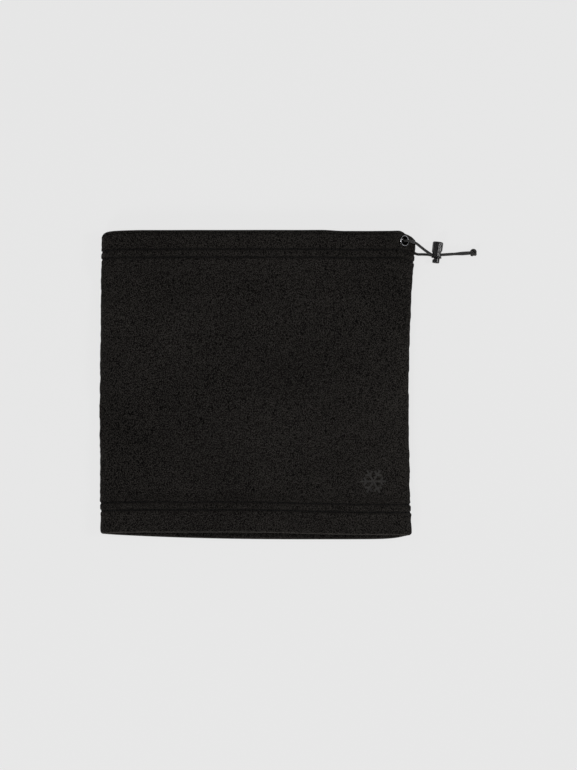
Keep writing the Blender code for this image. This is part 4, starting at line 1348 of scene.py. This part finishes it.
def soft_goods():
    fleece, thread = fleece_look(), thread_look()
    tube = rides(fleece_tube(fleece), "gaiter", ["fleece_tube"])
    top, bottom = HALF_LENGTH - TOP_ROW, BOTTOM_ROW - HALF_LENGTH
    for name, node, y in (
        ("top_stitches_upper", "top_hem_stitch_upper", top),
        ("top_stitches_lower", "top_hem_stitch_lower", top - NEEDLE_GAUGE),
        ("bottom_stitches_upper", "bottom_hem_stitch_upper", bottom + NEEDLE_GAUGE),
        ("bottom_stitches_lower", "bottom_hem_stitch_lower", bottom),
    ):
        rides(needle_row(name, y, thread), "gaiter", [node])
    hems = (("top", 1, TOP_ROW, TOP_TURNING), ("bottom", -1, BOTTOM_ROW, BOTTOM_TURNING))
    for hem, way, row, turning in hems:
        cover = cover_threads(hem + "_looper_threads", way, row, turning, thread)
        rides(cover, "gaiter", [hem + "_hem_cover_thread"])
    inside = fleece_look("fleece_inside", puckers=False)
    rides(back_seam_allowance(inside), "gaiter", ["back_seam_allowance"])
    rides(overlock_thread(thread), "gaiter", ["back_seam_overlock_thread"])
    rides(care_label(satin_look()), "gaiter", ["care_label"])
    rides(snowflake_film(film_look()), "gaiter", ["snowflake_transfer"])


def hardware(nodes):
    brass = ((0.05, 0.05, 0.052), 0.24, 0.01 * MM)
    blackened = metal_look("blackened_brass", *brass)
    # the ring's bright line along its rim is a painted highlight
    ring_metal = metal_look("eyelet_rim", *brass, rim=EYELET_FLANGE - 0.4 * MM)
    steel = metal_look("spring_steel", (0.55, 0.55, 0.56), 0.25, 0.008 * MM)
    plastic = plastic_look()
    for name, node, side in (("front_ring", "front_eyelet", FRONT), ("back_ring", "back_eyelet", BACK)):
        rides(eyelet(name, side, ring_metal), "gaiter", [node])
        nodes[node + "_washer"].data.materials.clear()
        nodes[node + "_washer"].data.materials.append(blackened)
    rides(lock_barrel(plastic), "cord_lock", ["cord_lock_barrel"])
    rides(lock_plunger(plastic), "lock_plunger", ["cord_lock_plunger"])
    spring = rides(lock_spring(steel), "cord_lock", ["cord_lock_spring"])
    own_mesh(spring)


def drawcord():
    braided = cord_look()
    rides(drawcord_in_hem(braided), "gaiter", ["drawcord_in_hem"])
    tied = rides(knot(braided), "gaiter", ["drawcord_knot"])
    ends = rides(cord_ends(braided), "gaiter", ["drawcord_knot"])
    lock_side, far_side = (LOCK_CENTRE + way * LOCK_REACH * CORD_WAY for way in (-1, 1))
    by_knot = LOCK_CENTRE + NEAR_KNOT * CORD_WAY
    for word, side in (("front", FRONT), ("back", BACK)):
        outside = eyelet_matrix(side).translation + Vector((5 * MM, 0, 0))
        inner_path, outer_path = tail_paths(side, TAIL_SPACING)
        stretches = (
            ("_tail_to_lock", inner_path, "fitting", ["lock_barrel"]),
            ("_tail_to_knot", outer_path, "knot", [tied, ends]),
        )
        blends = (("gaiter", "cord_lock", outside, lock_side), ("cord_lock", "gaiter", far_side, by_knot))
        for (place, path, far_end, with_pieces), (body, far_body, start, end) in zip(stretches, blends):
            piece = tubes(word + place, [path], CORD / 2, 20, braided, ripple=braid)
            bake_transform(piece)
            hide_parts("drawcord_" + word + "_tail")


def main():
    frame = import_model()
    camera()
    studio()
    SETTLED.run_simulation()
    soft_goods()
    hardware(frame["nodes"])
    drawcord()
    bpy.context.view_layer.update()


main()
